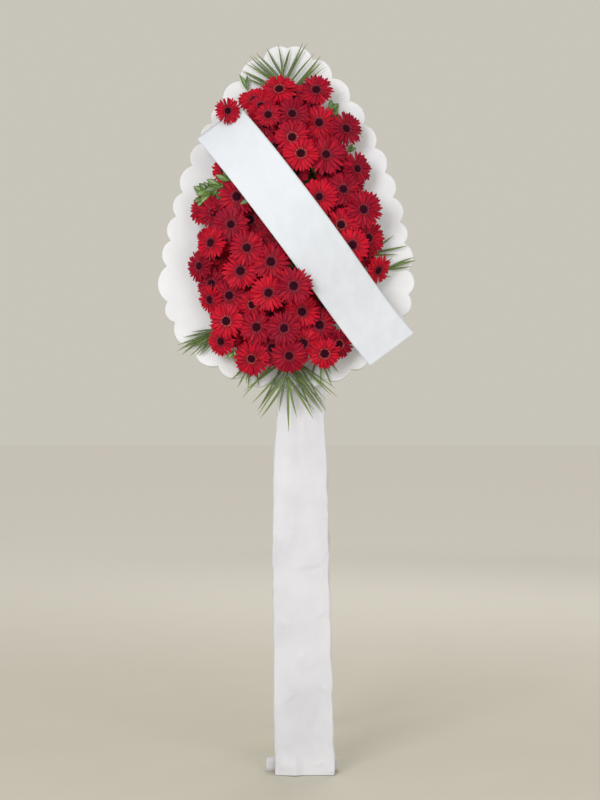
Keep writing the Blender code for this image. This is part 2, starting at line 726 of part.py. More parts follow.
def settle(groups):
    """Gives each bloom its height: on the dome and clear of the other bunches behind it.

    Blooms of one bunch grow into each other a little, because they are one body.
    """
    bunch = {bloom: number for number, group in enumerate(groups) for bloom in group}
    placed = []
    for bloom in sorted(bunch, key=lambda bloom: bloom.layer):
        out = (bloom.x / FIELD_HALF_WIDTH) ** 2 + (bloom.y / FIELD_HALF_HEIGHT) ** 2
        height = DOME_EDGE + DOME_RISE * (1 - out)
        for point in bloom.samples:
            x, y = bloom.x + point.x, bloom.y + point.y
            height = max(height, ground_height(x, y) - point.z)
            band = band_height(x, y) if bloom.layer == 9 else None
            if band is not None:
                height = max(height, band + LAYER_GAP - point.z)
            for other in placed:
                rise = other.rise_at(x, y)
                if rise is not None:
                    gap = -SINK_IN_BUNCH if bunch[other] == bunch[bloom] else LAYER_GAP
                    height = max(height, other.height + rise + gap - point.z)
        for other in placed:
            gap = -SINK_IN_BUNCH if bunch[other] == bunch[bloom] else LAYER_GAP
            for point in other.samples:
                rise = bloom.rise_at(other.x + point.x, other.y + point.y)
                if rise is not None:
                    height = max(height, other.height + point.z + gap - rise)
        bloom.height = height
        placed.append(bloom)


def middle_of(group):
    return Vector((sum(b.x for b in group) / len(group), sum(b.y for b in group) / len(group)))


def lay_out(groups):
    """Settles the blooms, and moves each for its height, until the two agree."""
    for _ in range(4):
        settle(groups)
        for bloom in (bloom for group in groups for bloom in group):
            bloom.move_for_view()
    settle(groups)


def spread(group):
    return max(math.hypot(a.x - b.x, a.y - b.y) for a in group for b in group)


def bunches_of(blooms):
    """Joins the closest neighbours into bunches, each on one pick."""
    groups = [[bloom] for bloom in blooms]
    while len(groups) > BUNCHES:
        pairs = [
            (spread(a + b), i, j)
            for i, a in enumerate(groups)
            for j, b in enumerate(groups[:i])
            if len(a) + len(b) <= MOST_IN_BUNCH
        ]
        _, i, j = min(pairs)
        groups[j] += groups.pop(i)
    return groups


def pick_places(groups):
    """Each bunch's place in the pad: under its middle, moved in from the pad's edge."""
    places = []
    for group in groups:
        place = middle_of(group)
        out = pad_share(*place)
        if out > PICK_REACH:
            place = place * (PICK_REACH / out)
        for other in places:
            if (place - other).length < PICK_SPACING:
                place += (place - other).normalized() * (PICK_SPACING - (place - other).length)
        places.append(place)
    return places


def stem_route(bloom, pick):
    """From the bloom's cup, straight back and then over to its pick."""
    centre = bloom.centre()
    neck = centre - bloom.normal * STEM_NECK
    route = [centre - bloom.normal * CUP_DEPTH, neck]
    if bloom.layer == 9:
        route.append(Vector((neck.x, neck.y, PICK_TOP + 14 * MM)))
    return route + [Vector((pick.x, pick.y, PICK_TOP))]


def crossings(bloom, routes):
    """Where other bunches' stems pass through the bloom's disc: how far out and at what angle."""
    found = []
    back = bloom.turn.inverted()
    for route in routes:
        for start, end in zip(route, route[1:]):
            a, b = (back @ (point - bloom.centre()) for point in (start, end))
            if a.z * b.z > 0:
                continue
            hit = a.lerp(b, a.z / (a.z - b.z)) if a.z != b.z else a
            if hit.xy.length < bloom.radius + STEM_RADIUS:
                found.append((hit.xy.length, math.atan2(hit.y, hit.x)))
    return found


def stem_rings(bm, bloom, route, phase):
    """Square rings along a stem's route, each across the way that the stem runs there."""
    side = bloom.turn @ Vector((math.cos(phase), math.sin(phase), 0))
    rings = []
    for k, point in enumerate(route):
        before, after = route[max(k - 1, 0)], route[min(k + 1, len(route) - 1)]
        way = ((point - before).normalized() + (after - point).normalized()).normalized()
        side = (side - way * side.dot(way)).normalized()
        other = way.cross(side)
        rings.append([bm.verts.new(point + step * STEM_RADIUS) for step in (side, -other, -side, other)])
    return rings


def bloom_mesh(bloom, phase, route, stems):
    """A bloom and its stem: pointed petals round a raised eye, cut short where a stem passes."""
    radius = bloom.radius
    petals = 12 if radius > 42 * MM else 10
    frame = Matrix.Translation(bloom.centre()) @ bloom.turn.to_matrix().to_4x4() @ Matrix.Rotation(phase, 4, "Z")
    bm = bmesh.new()

    def spot(out, angle, height):
        return bm.verts.new(frame @ Vector((out * math.cos(angle), out * math.sin(angle), height)))

    eye = spot(0, 0, 5 * MM)
    step = FULL_TURN / (2 * petals)
    ring, rim, under = [], [], []
    for k in range(2 * petals):
        angle = k * step
        is_tip = k % 2 == 0
        reach = radius * ((1.0 if k % 4 else 0.95) if is_tip else 0.76)
        for out, at in stems:
            apart = abs((angle + phase - at + math.pi) % FULL_TURN - math.pi)
            if apart < (STEM_RADIUS + STEM_ROOM) / out + 1.1 * step:
                reach = min(reach, out - STEM_RADIUS - STEM_ROOM)
        height = (2.6 if k % 4 else 1.2) * MM if is_tip else 1.2 * MM
        if is_tip:
            ring.append(spot(min(0.27 * radius, reach - 2 * MM), angle, 2.6 * MM))
        rim.append(spot(reach, angle, height))
        under.append(spot(reach, angle, height - 1.1 * MM))
    stem = stem_rings(bm, bloom, route, phase)
    for k in range(petals):
        after = (k + 1) % petals
        left, tip, right = rim[2 * k - 1], rim[2 * k], rim[2 * k + 1]
        bm.faces.new((eye, ring[k], ring[after]))
        bm.faces.new((ring[k], left, tip))
        bm.faces.new((ring[k], tip, right))
        bm.faces.new((ring[k], right, ring[after]))
    sides = len(stem[0])
    for k in range(2 * petals):
        after = (k + 1) % (2 * petals)
        here = sides * k // (2 * petals)
        there = sides * after // (2 * petals)
        bm.faces.new((rim[k], under[k], under[after], rim[after]))
        bm.faces.new((under[k], stem[0][here], under[after]))
        if there != here:
            bm.faces.new((under[after], stem[0][here], stem[0][there]))
    for near, far in zip(stem, stem[1:]):
        for k in range(sides):
            bm.faces.new((near[k], far[k], far[(k + 1) % sides], near[(k + 1) % sides]))
    bm.faces.new(stem[-1])
    return mesh_from(bm, "bloom")


def make_blooms(build, wreath):
    """All the bunches. Returns the pick holes for the pad."""
    draw = random.Random(11)
    groups = bunches_of([Bloom(*row) for row in BLOOMS])
    lay_out(groups)
    picks = pick_places(groups)
    routes = [[stem_route(bloom, pick) for bloom in group] for group, pick in zip(groups, picks)]
    holes = []
    for number, (group, pick, own) in enumerate(zip(groups, picks, routes), 1):
        others = [route for stems in routes if stems is not own for route in stems]
        meshes = [rod_mesh("pick", (*pick, PICK_FOOT), (*pick, PICK_TOP + 2 * MM), PICK_RADIUS, 6)]
        for bloom, route in zip(group, own):
            meshes.append(bloom_mesh(bloom, draw.uniform(0, 1), route, crossings(bloom, others)))
        name = f"blooms_{number:02d}"
        build.place(name, fused_mesh(name, meshes), wreath, "petal")
        holes.append(rod_mesh("hole", (*pick, PICK_FOOT - GAP), (*pick, PAD_THICK + 5 * MM), HOLE_RADIUS, 6))
    return holes


# Foliage


def blade_mesh(root, tip, width, thick, droop, flat=0.5):
    """A pointed blade, thickest along its middle: two cross sections between two points."""
    bm = bmesh.new()
    along = tip - root
    side = Vector((-along.y, along.x, 0)).normalized() * width / 2
    lift = Vector((0, 0, thick / 2))
    ends = [bm.verts.new(root), bm.verts.new(tip)]
    rings = []
    for share, wide in ((0.28, 1.0), (0.28 + 0.34 * flat / 0.5, 0.86)):
        middle = root + along * share + Vector((0, 0, droop * 4 * share * (1 - share)))
        rings.append([bm.verts.new(middle + step) for step in (side * wide, lift, -side * wide, -lift)])
    for k in range(4):
        after = (k + 1) % 4
        bm.faces.new((ends[0], rings[0][after], rings[0][k]))
        bm.faces.new((rings[0][k], rings[0][after], rings[1][after], rings[1][k]))
        bm.faces.new((ends[1], rings[1][k], rings[1][after]))
    return mesh_from(bm, "blade")


def rib_points(root, tip):
    start = Vector((root[0] * MM, root[1] * MM, RIB_ROOT_HEIGHT))
    end = Vector((tip[0] * MM, tip[1] * MM, RIB_TIP_HEIGHT))
    return start, end


def make_foliage(build, wreath):
    """The fronds and the leafy twigs. Returns the holes for their stems in the pad's edge."""
    holes = []
    rows = [(name, *frond, RIB_RADIUS, "frond") for name, frond in FRONDS.items()]
    rows += [(name, *sprig, TWIG_RADIUS, "leaf") for name, sprig in SPRIGS.items()]
    for name, root, tip, blades, radius, finish in rows:
        start, end = rib_points(root, tip)
        along = (end - start).normalized()
        meshes = [wire_mesh("rib", [start, start.lerp(end, 0.5), end], [radius, radius * 0.8, radius * 0.45], 1)]
        for down, turn, length, *width in blades:
            base = end - along * (down * MM + BLADE_ROOT)
            way = Matrix.Rotation(math.radians(turn), 3, "Z") @ along.xy.to_3d().normalized()
            if width:
                wide, thick, droop = width[0] * MM, LEAF_BLADE_THICK, 2 * MM
            else:
                wide, thick, droop = LEAFLET_WIDTH, LEAFLET_THICK, LEAFLET_DROOP
            point = base + way * length * MM
            meshes.append(blade_mesh(base, point, wide, thick, droop))
        build.place(name, fused_mesh(name, meshes), wreath, finish)
        outer = start + along * 120 * MM
        holes.append(rod_mesh("hole", start - along * GAP, outer, RIB_HOLE, 8))
    return holes


def make_band(build, wreath):
    """The band, an open strip over the flowers, given its thickness."""
    start, end = Vector(BAND_START), Vector(BAND_END)
    side = Vector((-(end - start).y, (end - start).x)).normalized() * BAND_WIDTH / 2
    bm = bmesh.new()
    rows = []
    for k in range(BAND_ROWS + 1):
        share = k / BAND_ROWS
        middle = start.lerp(end, share)
        rows.append([bm.verts.new((*(middle + way), arch_height(share))) for way in (side, -side)])
    for near, far in zip(rows, rows[1:]):
        bm.faces.new((near[0], near[1], far[1], far[0]))
    band = build.place("mourning_band", mesh_from(bm, "mourning_band"), wreath, "band")
    sheet = band.modifiers.new("Sheet", "SOLIDIFY")
    sheet.thickness = BAND_THICK
    sheet.offset = 0


def main():
    for obj in list(bpy.data.objects):
        bpy.data.objects.remove(obj)
    build = Builder()

    foot_depth = BATTEN_DEPTH / 2 + GAP + POST_DEPTH / 2
    frame = build.empty("leaning_frame", location=(0, -foot_depth, 0), turn=(-LEAN, 0, 0))
    pin_depth = POST_DEPTH / 2 + PIN_BEHIND_POSTS
    middle = (at_height(LEFT_POST, PIN_HEIGHT) + at_height(RIGHT_POST, PIN_HEIGHT)) / 2
    pivot = build.empty("prop_pivot", frame, (middle, pin_depth, PIN_HEIGHT), (PROP_OPEN, 0, 0))
    front = -POST_DEPTH / 2 - BOARD_BEFORE_POSTS - BOARD_THICK
    wreath = build.empty("wreath", frame, (FIELD_ACROSS, front, FIELD_UP), (math.pi / 2, 0, 0))
    floor = build.place_cutter("floor_cutter", box_mesh("floor", (-1, -1, -1), (1, 1, 0)), None)

    make_screws(build, frame, front)
    make_posts(build, frame, floor)
    make_rungs(build, frame)
    make_foot(build, frame, floor)
    make_leg_cover(build, frame)
    make_prop(build, pivot, frame, floor)
    make_board(build, wreath)
    holes = make_blooms(build, wreath)
    holes += make_foliage(build, wreath)
    make_pad(build, wreath, holes)
    make_band(build, wreath)


main()
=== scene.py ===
"""Looks for the standing funeral wreath: gerberas, palm, scalloped board, blank band, cloth."""

import json
import math
import random

import bmesh
import bpy
from mathutils import Matrix, Vector, noise

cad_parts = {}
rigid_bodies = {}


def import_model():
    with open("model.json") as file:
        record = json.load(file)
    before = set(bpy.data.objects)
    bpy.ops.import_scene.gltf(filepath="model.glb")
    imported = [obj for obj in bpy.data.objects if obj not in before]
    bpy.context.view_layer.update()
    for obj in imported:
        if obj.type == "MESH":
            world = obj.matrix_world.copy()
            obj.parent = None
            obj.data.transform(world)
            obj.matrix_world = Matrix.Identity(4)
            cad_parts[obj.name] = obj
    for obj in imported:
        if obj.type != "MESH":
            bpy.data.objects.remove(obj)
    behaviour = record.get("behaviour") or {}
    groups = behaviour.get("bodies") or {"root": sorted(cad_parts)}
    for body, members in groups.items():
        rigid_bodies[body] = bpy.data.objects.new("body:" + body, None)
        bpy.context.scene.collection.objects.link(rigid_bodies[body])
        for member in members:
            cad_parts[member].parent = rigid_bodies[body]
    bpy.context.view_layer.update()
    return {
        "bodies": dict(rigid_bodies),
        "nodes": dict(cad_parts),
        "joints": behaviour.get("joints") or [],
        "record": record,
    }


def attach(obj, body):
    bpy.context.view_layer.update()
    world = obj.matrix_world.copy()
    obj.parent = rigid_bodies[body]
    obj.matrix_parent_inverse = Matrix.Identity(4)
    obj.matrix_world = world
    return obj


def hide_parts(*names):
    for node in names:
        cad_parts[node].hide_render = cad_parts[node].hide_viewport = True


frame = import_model()

MM = 0.001
GAP = 0.3 * MM
FULL_TURN = 2 * math.pi

# Where the wreath is: its own x right, y up the board, z out of the board's front
LEAN = math.radians(5)
STAND_PLACE = Vector((0, -29.8 * MM, 0))
BOARD_THICK = 30 * MM
WREATH_PLACE = Vector((-43.3 * MM, -49.5 * MM, 1.50))
STAND = Matrix.Translation(STAND_PLACE) @ Matrix.Rotation(-LEAN, 4, "X")
WREATH = STAND @ Matrix.Translation(WREATH_PLACE) @ Matrix.Rotation(math.pi / 2, 4, "X")

# The board's egg and its lobes, as in the part's source
EGG_CENTRE = -158 * MM
EGG_HALF_WIDTH = 338 * MM
EGG_ABOVE = 672 * MM
EGG_BELOW = 275 * MM
EGG_TOP_POWER = 1.62
EGG_STEPS = 720
LOBE_RISE = 0.26
LOBE_STEPS = 14
LOBE_WIDTHS = (
    78, 78, 82, 78, 73, 76, 74, 73, 61, 77, 68, 63, 76, 76, 58, 77, 75,
    76, 79, 74, 83, 90, 62, 101, 73, 70, 70, 81, 69, 65, 64, 80, 92, 74,
)

# How far the scene rounds the board's cut edge
BOARD_EDGE = 2.2 * MM

# The flower field, as in the part's source
PAD_HALF_WIDTH = 190 * MM
PAD_HALF_HEIGHT = 330 * MM
PAD_THICK = 42 * MM
FIELD_HALF_WIDTH = 270 * MM
FIELD_HALF_HEIGHT = 420 * MM
DOME_EDGE = 68 * MM
DOME_RISE = 26 * MM
DOME_SLOPE = 0.17
VIEW_HEIGHT = 80 * MM
VIEW_DISTANCE = 4.1
VIEW_BELOW = 0.48
RIM_ABOVE_PAD = 6 * MM
RIM_ABOVE_BOARD = 24 * MM
LAYER_GAP = 7.5 * MM
SINK_IN_BUNCH = 9 * MM
CUP_DEPTH = 6 * MM
STEM_RADIUS = 2.4 * MM
STEM_NECK = 17 * MM
STEM_ROOM = 2.2 * MM
PICK_RADIUS = 3.0 * MM
PICK_TOP = PAD_THICK + 11 * MM
PICK_FOOT = 12 * MM
PICK_REACH = 0.84
PICK_SPACING = 10 * MM
BUNCHES = 27
MOST_IN_BUNCH = 4
OVER_BAND = 9

# x, y and radius in millimetres, the layer from the back, and the bloom's turn: how many
# degrees, towards which side (0 is right, 90 up)
BLOOMS = (
    (-22, 372, 50, 1, 12, 90), (80, 370, 48, 1, 5, 60), (-91, 342, 46, 0, 24, 120),
    (-163, 311, 37, 9, 24, -40), (-72, 325, 33, 1, 0, 0), (-52, 300, 36, 2, 0, 0),
    (-86, 304, 24, 0, 0, 0), (14, 303, 50, 2, 0, 0), (88, 278, 50, 0, 0, 0),
    (162, 261, 52, 1, 30, 20), (14, 236, 50, 3, 0, 0), (38, 191, 50, 4, 0, 0),
    (107, 188, 57, 3, 0, 0), (192, 149, 47, 1, 28, 0), (154, 91, 50, 1, 0, 0),
    (88, 71, 52, 2, 0, 0), (209, 35, 55, 2, 8, 0), (148, -7, 50, 1, 0, 0),
    (179, -63, 50, 2, 0, 0), (223, -43, 55, 0, 30, 0), (206, -93, 40, 0, 0, 0),
    (248, -133, 45, 1, 45, -50), (143, 146, 34, 0, 0, 0), (19, 356, 34, 0, 0, 0),
    (25, 138, 36, 0, 0, 0), (-33, 213, 36, 0, 0, 0), (-60, 269, 33, 0, 0, 0),
    (-171, 146, 39, 0, 10, 180), (-138, 77, 55, 2, 0, 0), (-201, 27, 44, 1, 0, 0),
    (-231, 38, 47, 0, 32, 165), (-154, -1, 50, 2, 0, 0), (-102, 18, 47, 0, 0, 0),
    (-69, -43, 30, 0, 0, 0), (-209, -52, 47, 2, 30, 180), (-110, -66, 50, 2, 0, 0),
    (-179, -49, 39, 0, 0, 0), (-239, -121, 44, 1, 30, 190), (-44, -105, 54, 2, 0, 0),
    (-127, -130, 50, 3, 0, 0), (-83, -144, 36, 1, 0, 0), (-206, -169, 44, 0, 14, 180),
    (-157, -202, 50, 1, 0, 0), (-50, -191, 50, 3, 0, 0), (-209, -213, 41, 1, 28, 200),
    (19, -172, 52, 9, 14, 180), (-94, -227, 41, 1, 0, 0), (-165, -272, 48, 3, 0, 0),
    (-83, -289, 48, 2, 0, 0), (-8, -292, 48, 3, 0, 0), (41, -247, 50, 3, 0, 0),
    (11, -250, 28, 1, 0, 0), (88, -283, 50, 1, 0, 0), (44, -333, 52, 1, 0, 0),
    (-41, -345, 50, 1, 0, 0), (6, -367, 52, 2, 12, -90), (-96, -375, 50, 2, 14, -110),
    (102, -361, 44, 2, 10, -90), (140, -336, 44, 1, 12, -45), (-179, -328, 41, 0, 24, -130),
    (-110, 191, 46, 0, 0, 0), (-69, 113, 46, 0, 0, 0), (-11, 54, 46, 0, 0, 0),
    (36, -21, 46, 0, 0, 0), (-33, -21, 44, 0, 0, 0), (85, -93, 46, 0, 0, 0),
    (137, -169, 46, 0, 0, 0),
)
# Blooms whose dark eye has an open ring of pale florets round it
PALE_RINGS = (0, 10, 11, 17, 46, 47, 56, 57, 58)

# The band: the ends of its middle line on the board, and its height over the board in
# millimetres at each percent of its length
BAND_WIDTH = 148 * MM
BAND_START = (-190 * MM, 278 * MM)
BAND_END = (282 * MM, -356 * MM)
BAND_ARCH = (
    (0, 79.4), (8, 113.4), (20, 141.4), (36, 155.4), (50, 155.4), (62, 141.4), (72, 119.4), (82, 103.4),
    (90, 103.4), (100, 121.4),
)
# How far the scene's cloth end turns further out than the source's, past a soft bend
BAND_FLARE = 8 * MM
BAND_BEND = 0.915

# Fronds, in millimetres and degrees: the rib's root and tip, then one row a leaflet with
# its distance down from the rib's tip, its turn from the rib (left positive) and its length
FRONDS = {
    "frond_top": ((-10, 285), (-10, 446), (
        (1, -15, 72), (20, 29, 100), (30, -25, 128), (38, 46, 124), (48, -27, 146), (52, 55, 132),
        (60, -38, 142), (68, 60, 138), (78, -40, 158), (88, -43, 156), (98, -36, 176), (106, -44, 168),
    )),
    "frond_bottom": ((2, -285), (2, -428), (
        (0, 1, 146), (6, -34, 136), (8, 31, 138), (18, -35, 142), (20, 40, 148), (30, -36, 146),
        (34, 38, 156), (44, -42, 150), (52, 37, 178), (62, -52, 156), (66, 50, 182), (80, 44, 172),
        (84, -43, 186), (92, 31, 202),
    )),
    "frond_bottom_left": ((-56, -262), (-106, -392), (
        (0, -8, 66), (12, -28, 74), (24, 8, 72), (38, 30, 96), (52, 3, 60), (64, -26, 70),
    )),
    "frond_bottom_right": ((60, -262), (98, -376), (
        (2, -20, 76), (14, 12, 60), (30, -34, 92), (46, 10, 72), (58, -24, 64),
    )),
    "frond_left": ((-92, -256), (-214, -298), (
        (0, 0, 98), (10, 8, 96), (16, -9, 92), (28, 12, 98), (36, -14, 88), (50, 13, 94), (60, -30, 62),
    )),
    "frond_right_upper": ((152, -86), (238, -72), (
        (2, 3, 106), (10, 27, 90), (20, -9, 92), (34, 30, 84), (48, -24, 70),
    )),
    "frond_right_lower": ((140, -152), (292, -112), (
        (0, 1, 72), (12, 8, 84), (18, -8, 76), (44, 26, 60), (60, -26, 58),
    )),
}
RIB_RADIUS = 2.2 * MM
RIB_ROOT_HEIGHT = 13 * MM
RIB_TIP_HEIGHT = 9 * MM
LEAFLET_WIDTH = 6.2 * MM
LEAFLET_DROOP = 3 * MM
BLADE_ROOT = 3 * MM

# Twigs of broad leaves: root and tip, then one row a leaf as above, with its width
SPRIGS = {
    "sprig_left": ((-146, 58), (-226, 96), (
        (0, -4, 44, 17), (14, 32, 40, 18), (22, -42, 42, 17), (32, 46, 36, 17),
    )),
    "sprig_right": ((62, 256), (126, 326), (
        (0, 8, 34, 14), (18, -46, 40, 15), (40, -62, 44, 15),
    )),
    "sprig_crown": ((-52, 284), (-112, 388), (
        (0, -4, 56, 14), (30, 34, 40, 13),
    )),
}
TWIG_RADIUS = 1.8 * MM
# Leaves and leaflets that the source leaves out, given in the same way
MORE_LEAVES = {
    "frond_left": ((0, 9, 106), (4, 17, 104), (12, 25, 96), (22, 34, 86), (34, 26, 104), (46, 40, 84)),
    "frond_top": ((34, 42, 118), (44, 47, 132), (50, 51, 126), (58, 62, 132), (64, 66, 120), (40, 8, 120)),
    "frond_bottom": ((12, 12, 120), (26, -12, 118), (58, 24, 168), (70, -28, 172)),
    "frond_bottom_left": ((8, 16, 70), (30, -20, 84)),
    "frond_bottom_right": ((8, 2, 84), (26, 24, 78)),
    "sprig_left": (
        (30, -84, 62, 22), (44, -66, 48, 20), (12, -38, 44, 20), (16, 57, 50, 18), (52, -102, 56, 20),
        (24, 74, 46, 17), (8, 12, 34, 15),
    ),
    "sprig_right": ((30, -80, 52, 17), (48, -52, 46, 16), (56, 30, 40, 15)),
}
# How much broader than the source's each twig's leaves are
LEAF_BREADTH = {"sprig_left": 1.35, "sprig_right": 1.35, "sprig_crown": 0.8}
# Small blooms low in the gaps: the step between the places tried, the room that each keeps
# below the blooms over it, from a leaf and above the ground
FILLER_STEP = 24 * MM
FILLER_ROOM = 7 * MM
FILLER_FROM_LEAF = 19 * MM
FILLER_LEAST_ROOM = 4 * MM
# A gap is a place this far from the nearest bloom and within this of the third, in radii,
# with blooms on all its sides: the sum of the ways to those around is short for their number
FILLER_APART = 0.66
FILLER_NEAR_THIRD = 1.75
FILLER_AROUND = 2.1
FILLER_ONE_SIDED = 0.42
# More of them at the flowers' edge: place and radius
EDGE_FILLERS = (
    (-188, -94, 27), (-150, -318, 25), (-112, 352, 26), (-222, -78, 24), (70, 328, 26), (136, 240, 22),
)
# Leaves on stalks over and between the blooms: place, the way each points, length and width
LEAVES_OVER = (
    (-74, 60, 183, 58, 20), (-210, 82, 207, 40, 20), (-182, 86, 168, 42, 21), (-156, 106, 142, 40, 18),
    (-232, 68, 222, 26, 15),
)
LEAVES_BETWEEN = (
    (-176, -150, 20, 22, 12), (-122, -246, 160, 24, 12), (-60, -248, 15, 26, 12),
    (-146, -350, -110, 30, 13), (62, 158, -35, 30, 15), (78, 136, 80, 26, 14), (-82, -18, 120, 26, 13),
    (-108, -184, 60, 22, 12), (0, -110, -60, 24, 13), (86, -184, -70, 28, 14), (94, -206, 30, 26, 13),
    (118, 316, 60, 32, 15), (120, 290, 70, 34, 15), (132, 262, 110, 30, 14), (168, 205, 40, 26, 12),
    (-96, -92, 10, 20, 11),
)

# The cloth round the leg: height at its front and back, its left and right edge, its front
# and its back, in millimetres
CLOTH = 1.4 * MM
COVER_RINGS = (
    (5, 42, -76, 84, -24, 23),
    (34, 62, -75, 84, -23.5, 22),
    (120, 130, -77, 81, -22.5, 21.5),
    (300, 300, -78, 77, -22, 21.5),
    (470, 470, -80, 72.5, -22, 21),
    (590, 590, -80.5, 70, -22, 21),
    (760, 760, -79.5, 66.5, -21.5, 20.5),
    (880, 880, -78, 63, -20.5, 20.2),
    (975, 975, -69.5, 57.5, -19.6, 19.6),
    (1085, 1085, -68.5, 56.5, -19.3, 19.3),
)
# Creases in that cloth: from one x and height to the other, how wide and how deep, in
# millimetres, and whether one side stands out further: 1 below it, -1 above it, 0 neither
CREASES = (
    (52, 574, 20, 562, 5.0, 1.7, -1), (20, 562, -30, 560, 6.0, 1.5, -1), (66, 622, 52, 580, 4.5, 2.4, 0),
    (70, 704, 40, 690, 4.0, 1.2, 0), (-56, 588, -24, 658, 12.0, 2.0, 0), (-78, 790, -22, 778, 6.0, 1.1, -1),
    (-30, 930, -38, 782, 16.0, 2.2, 0), (-24, 990, 2, 1006, 6.0, 2.2, 1),
    (-58, 984, -30, 968, 6.0, 2.0, -1), (3, 974, 4, 934, 4.5, 2.0, 0), (-8, 1012, -14, 960, 4.0, 2.0, 0),
    (24, 1000, 36, 950, 5.0, 1.6, 0),
    (-46, 200, -24, 218, 5.0, 1.6, 0), (-66, 90, -18, 62, 5.0, 1.4, -1), (40, 300, -6, 286, 7.0, 1.1, -1),
    (34, 24, 58, 36, 3.4, 2.0, 0), (62, 226, 40, 246, 6.0, 1.6, 0), (10, 330, -12, 300, 9.0, 1.4, 0),
    (58, 440, 30, 420, 7.0, 1.6, 0), (-60, 420, -40, 390, 8.0, 1.8, 0), (30, 190, 10, 120, 12.0, 1.8, 0),
    (-62, 34, -34, 20, 18.0, 4.0, 0), (72, 20, 80, 4, 14.0, 3.0, 0),
)
# How many times wider a crease is on the side that stands out, and how deep all are
CREASE_STEP = 5
CREASE_DEPTH = 1.5
NONWOVEN_THICK = 0.7 * MM
# Round the leg: the corners' radius in millimetres, and the points in a corner and along
# each side, front and back
COVER_CORNER = 5.0
CORNER_STEPS = 5
SIDE_STEPS = 8
FACE_STEPS = 42
# Slack, in millimetres: the most anywhere, that at the sides, and the little on the left low down
MOST_SLACK = 11.0
SIDE_SLACK = 2.2
SIDE_TIGHT = 0.4
SIDE_TIGHT_BELOW = 560
# The height of the gathered neck, and how far its folds reach
NECK_HEIGHT = 1010
NECK_REACH = 55
BATTEN_ENDS = (-98 * MM, 90 * MM)
BATTEN_HEIGHT = 36 * MM
# Along the cloth over a batten's end: share of its length, how far it is drawn in, in millimetres
FOOT_CLOTH_ROWS = (
    (0, 0.0), (0.2, 0.0), (0.4, 0.0), (0.55, 0.0), (0.7, 0.0), (0.85, 0.0), (0.97, 0.2), (1.0, 1.2),
)
BATTEN_DEPTH = 24 * MM
POST_DEPTH = 35 * MM
SCREW_HEIGHTS = (1.24, 1.62)
# Radius and depth of what each screw's washer and shaft take out of the board
WASHER_ROOM = (9.6 * MM, 4.2 * MM)
SCREW_ROOM = (2.6 * MM, 100 * MM)
POST_HEIGHT = 1.75
LEFT_POST = (-60 * MM, -52 * MM)
RIGHT_POST = (69 * MM, 22 * MM)


def linear(red, green, blue, alpha=1.0):
    """A colour given as 0 to 255, as the shader wants it."""
    parts = [c / 255 for c in (red, green, blue)]
    return (*[c / 12.92 if c <= 0.04045 else ((c + 0.055) / 1.055) ** 2.4 for c in parts], alpha)


# Shader maths


class Socket:
    """A shader socket or a number, on which + - * / make Math nodes."""

    def __init__(self, finish, value):
        self.finish, self.value = finish, value

    def math(self, operation, *others):
        node = self.finish.nodes.new("ShaderNodeMath")
        node.operation = operation
        for socket, value in zip(node.inputs, (self, *others)):
            self.finish.feed(socket, value)
        return Socket(self.finish, node.outputs[0])

    def __add__(self, other):
        return self.math("ADD", other)

    def __sub__(self, other):
        return self.math("SUBTRACT", other)

    def __mul__(self, other):
        return self.math("MULTIPLY", other)

    def __radd__(self, other):
        return Socket(self.finish, other).math("ADD", self)

    def __rsub__(self, other):
        return Socket(self.finish, other).math("SUBTRACT", self)

    def step(self, low, high):
        """0 below low, 1 above high, smooth in between."""
        return self.finish.node(
            "ShaderNodeMapRange", "Result", {"interpolation_type": "SMOOTHSTEP"},
            {"Value": self, "From Min": low, "From Max": high},
        )


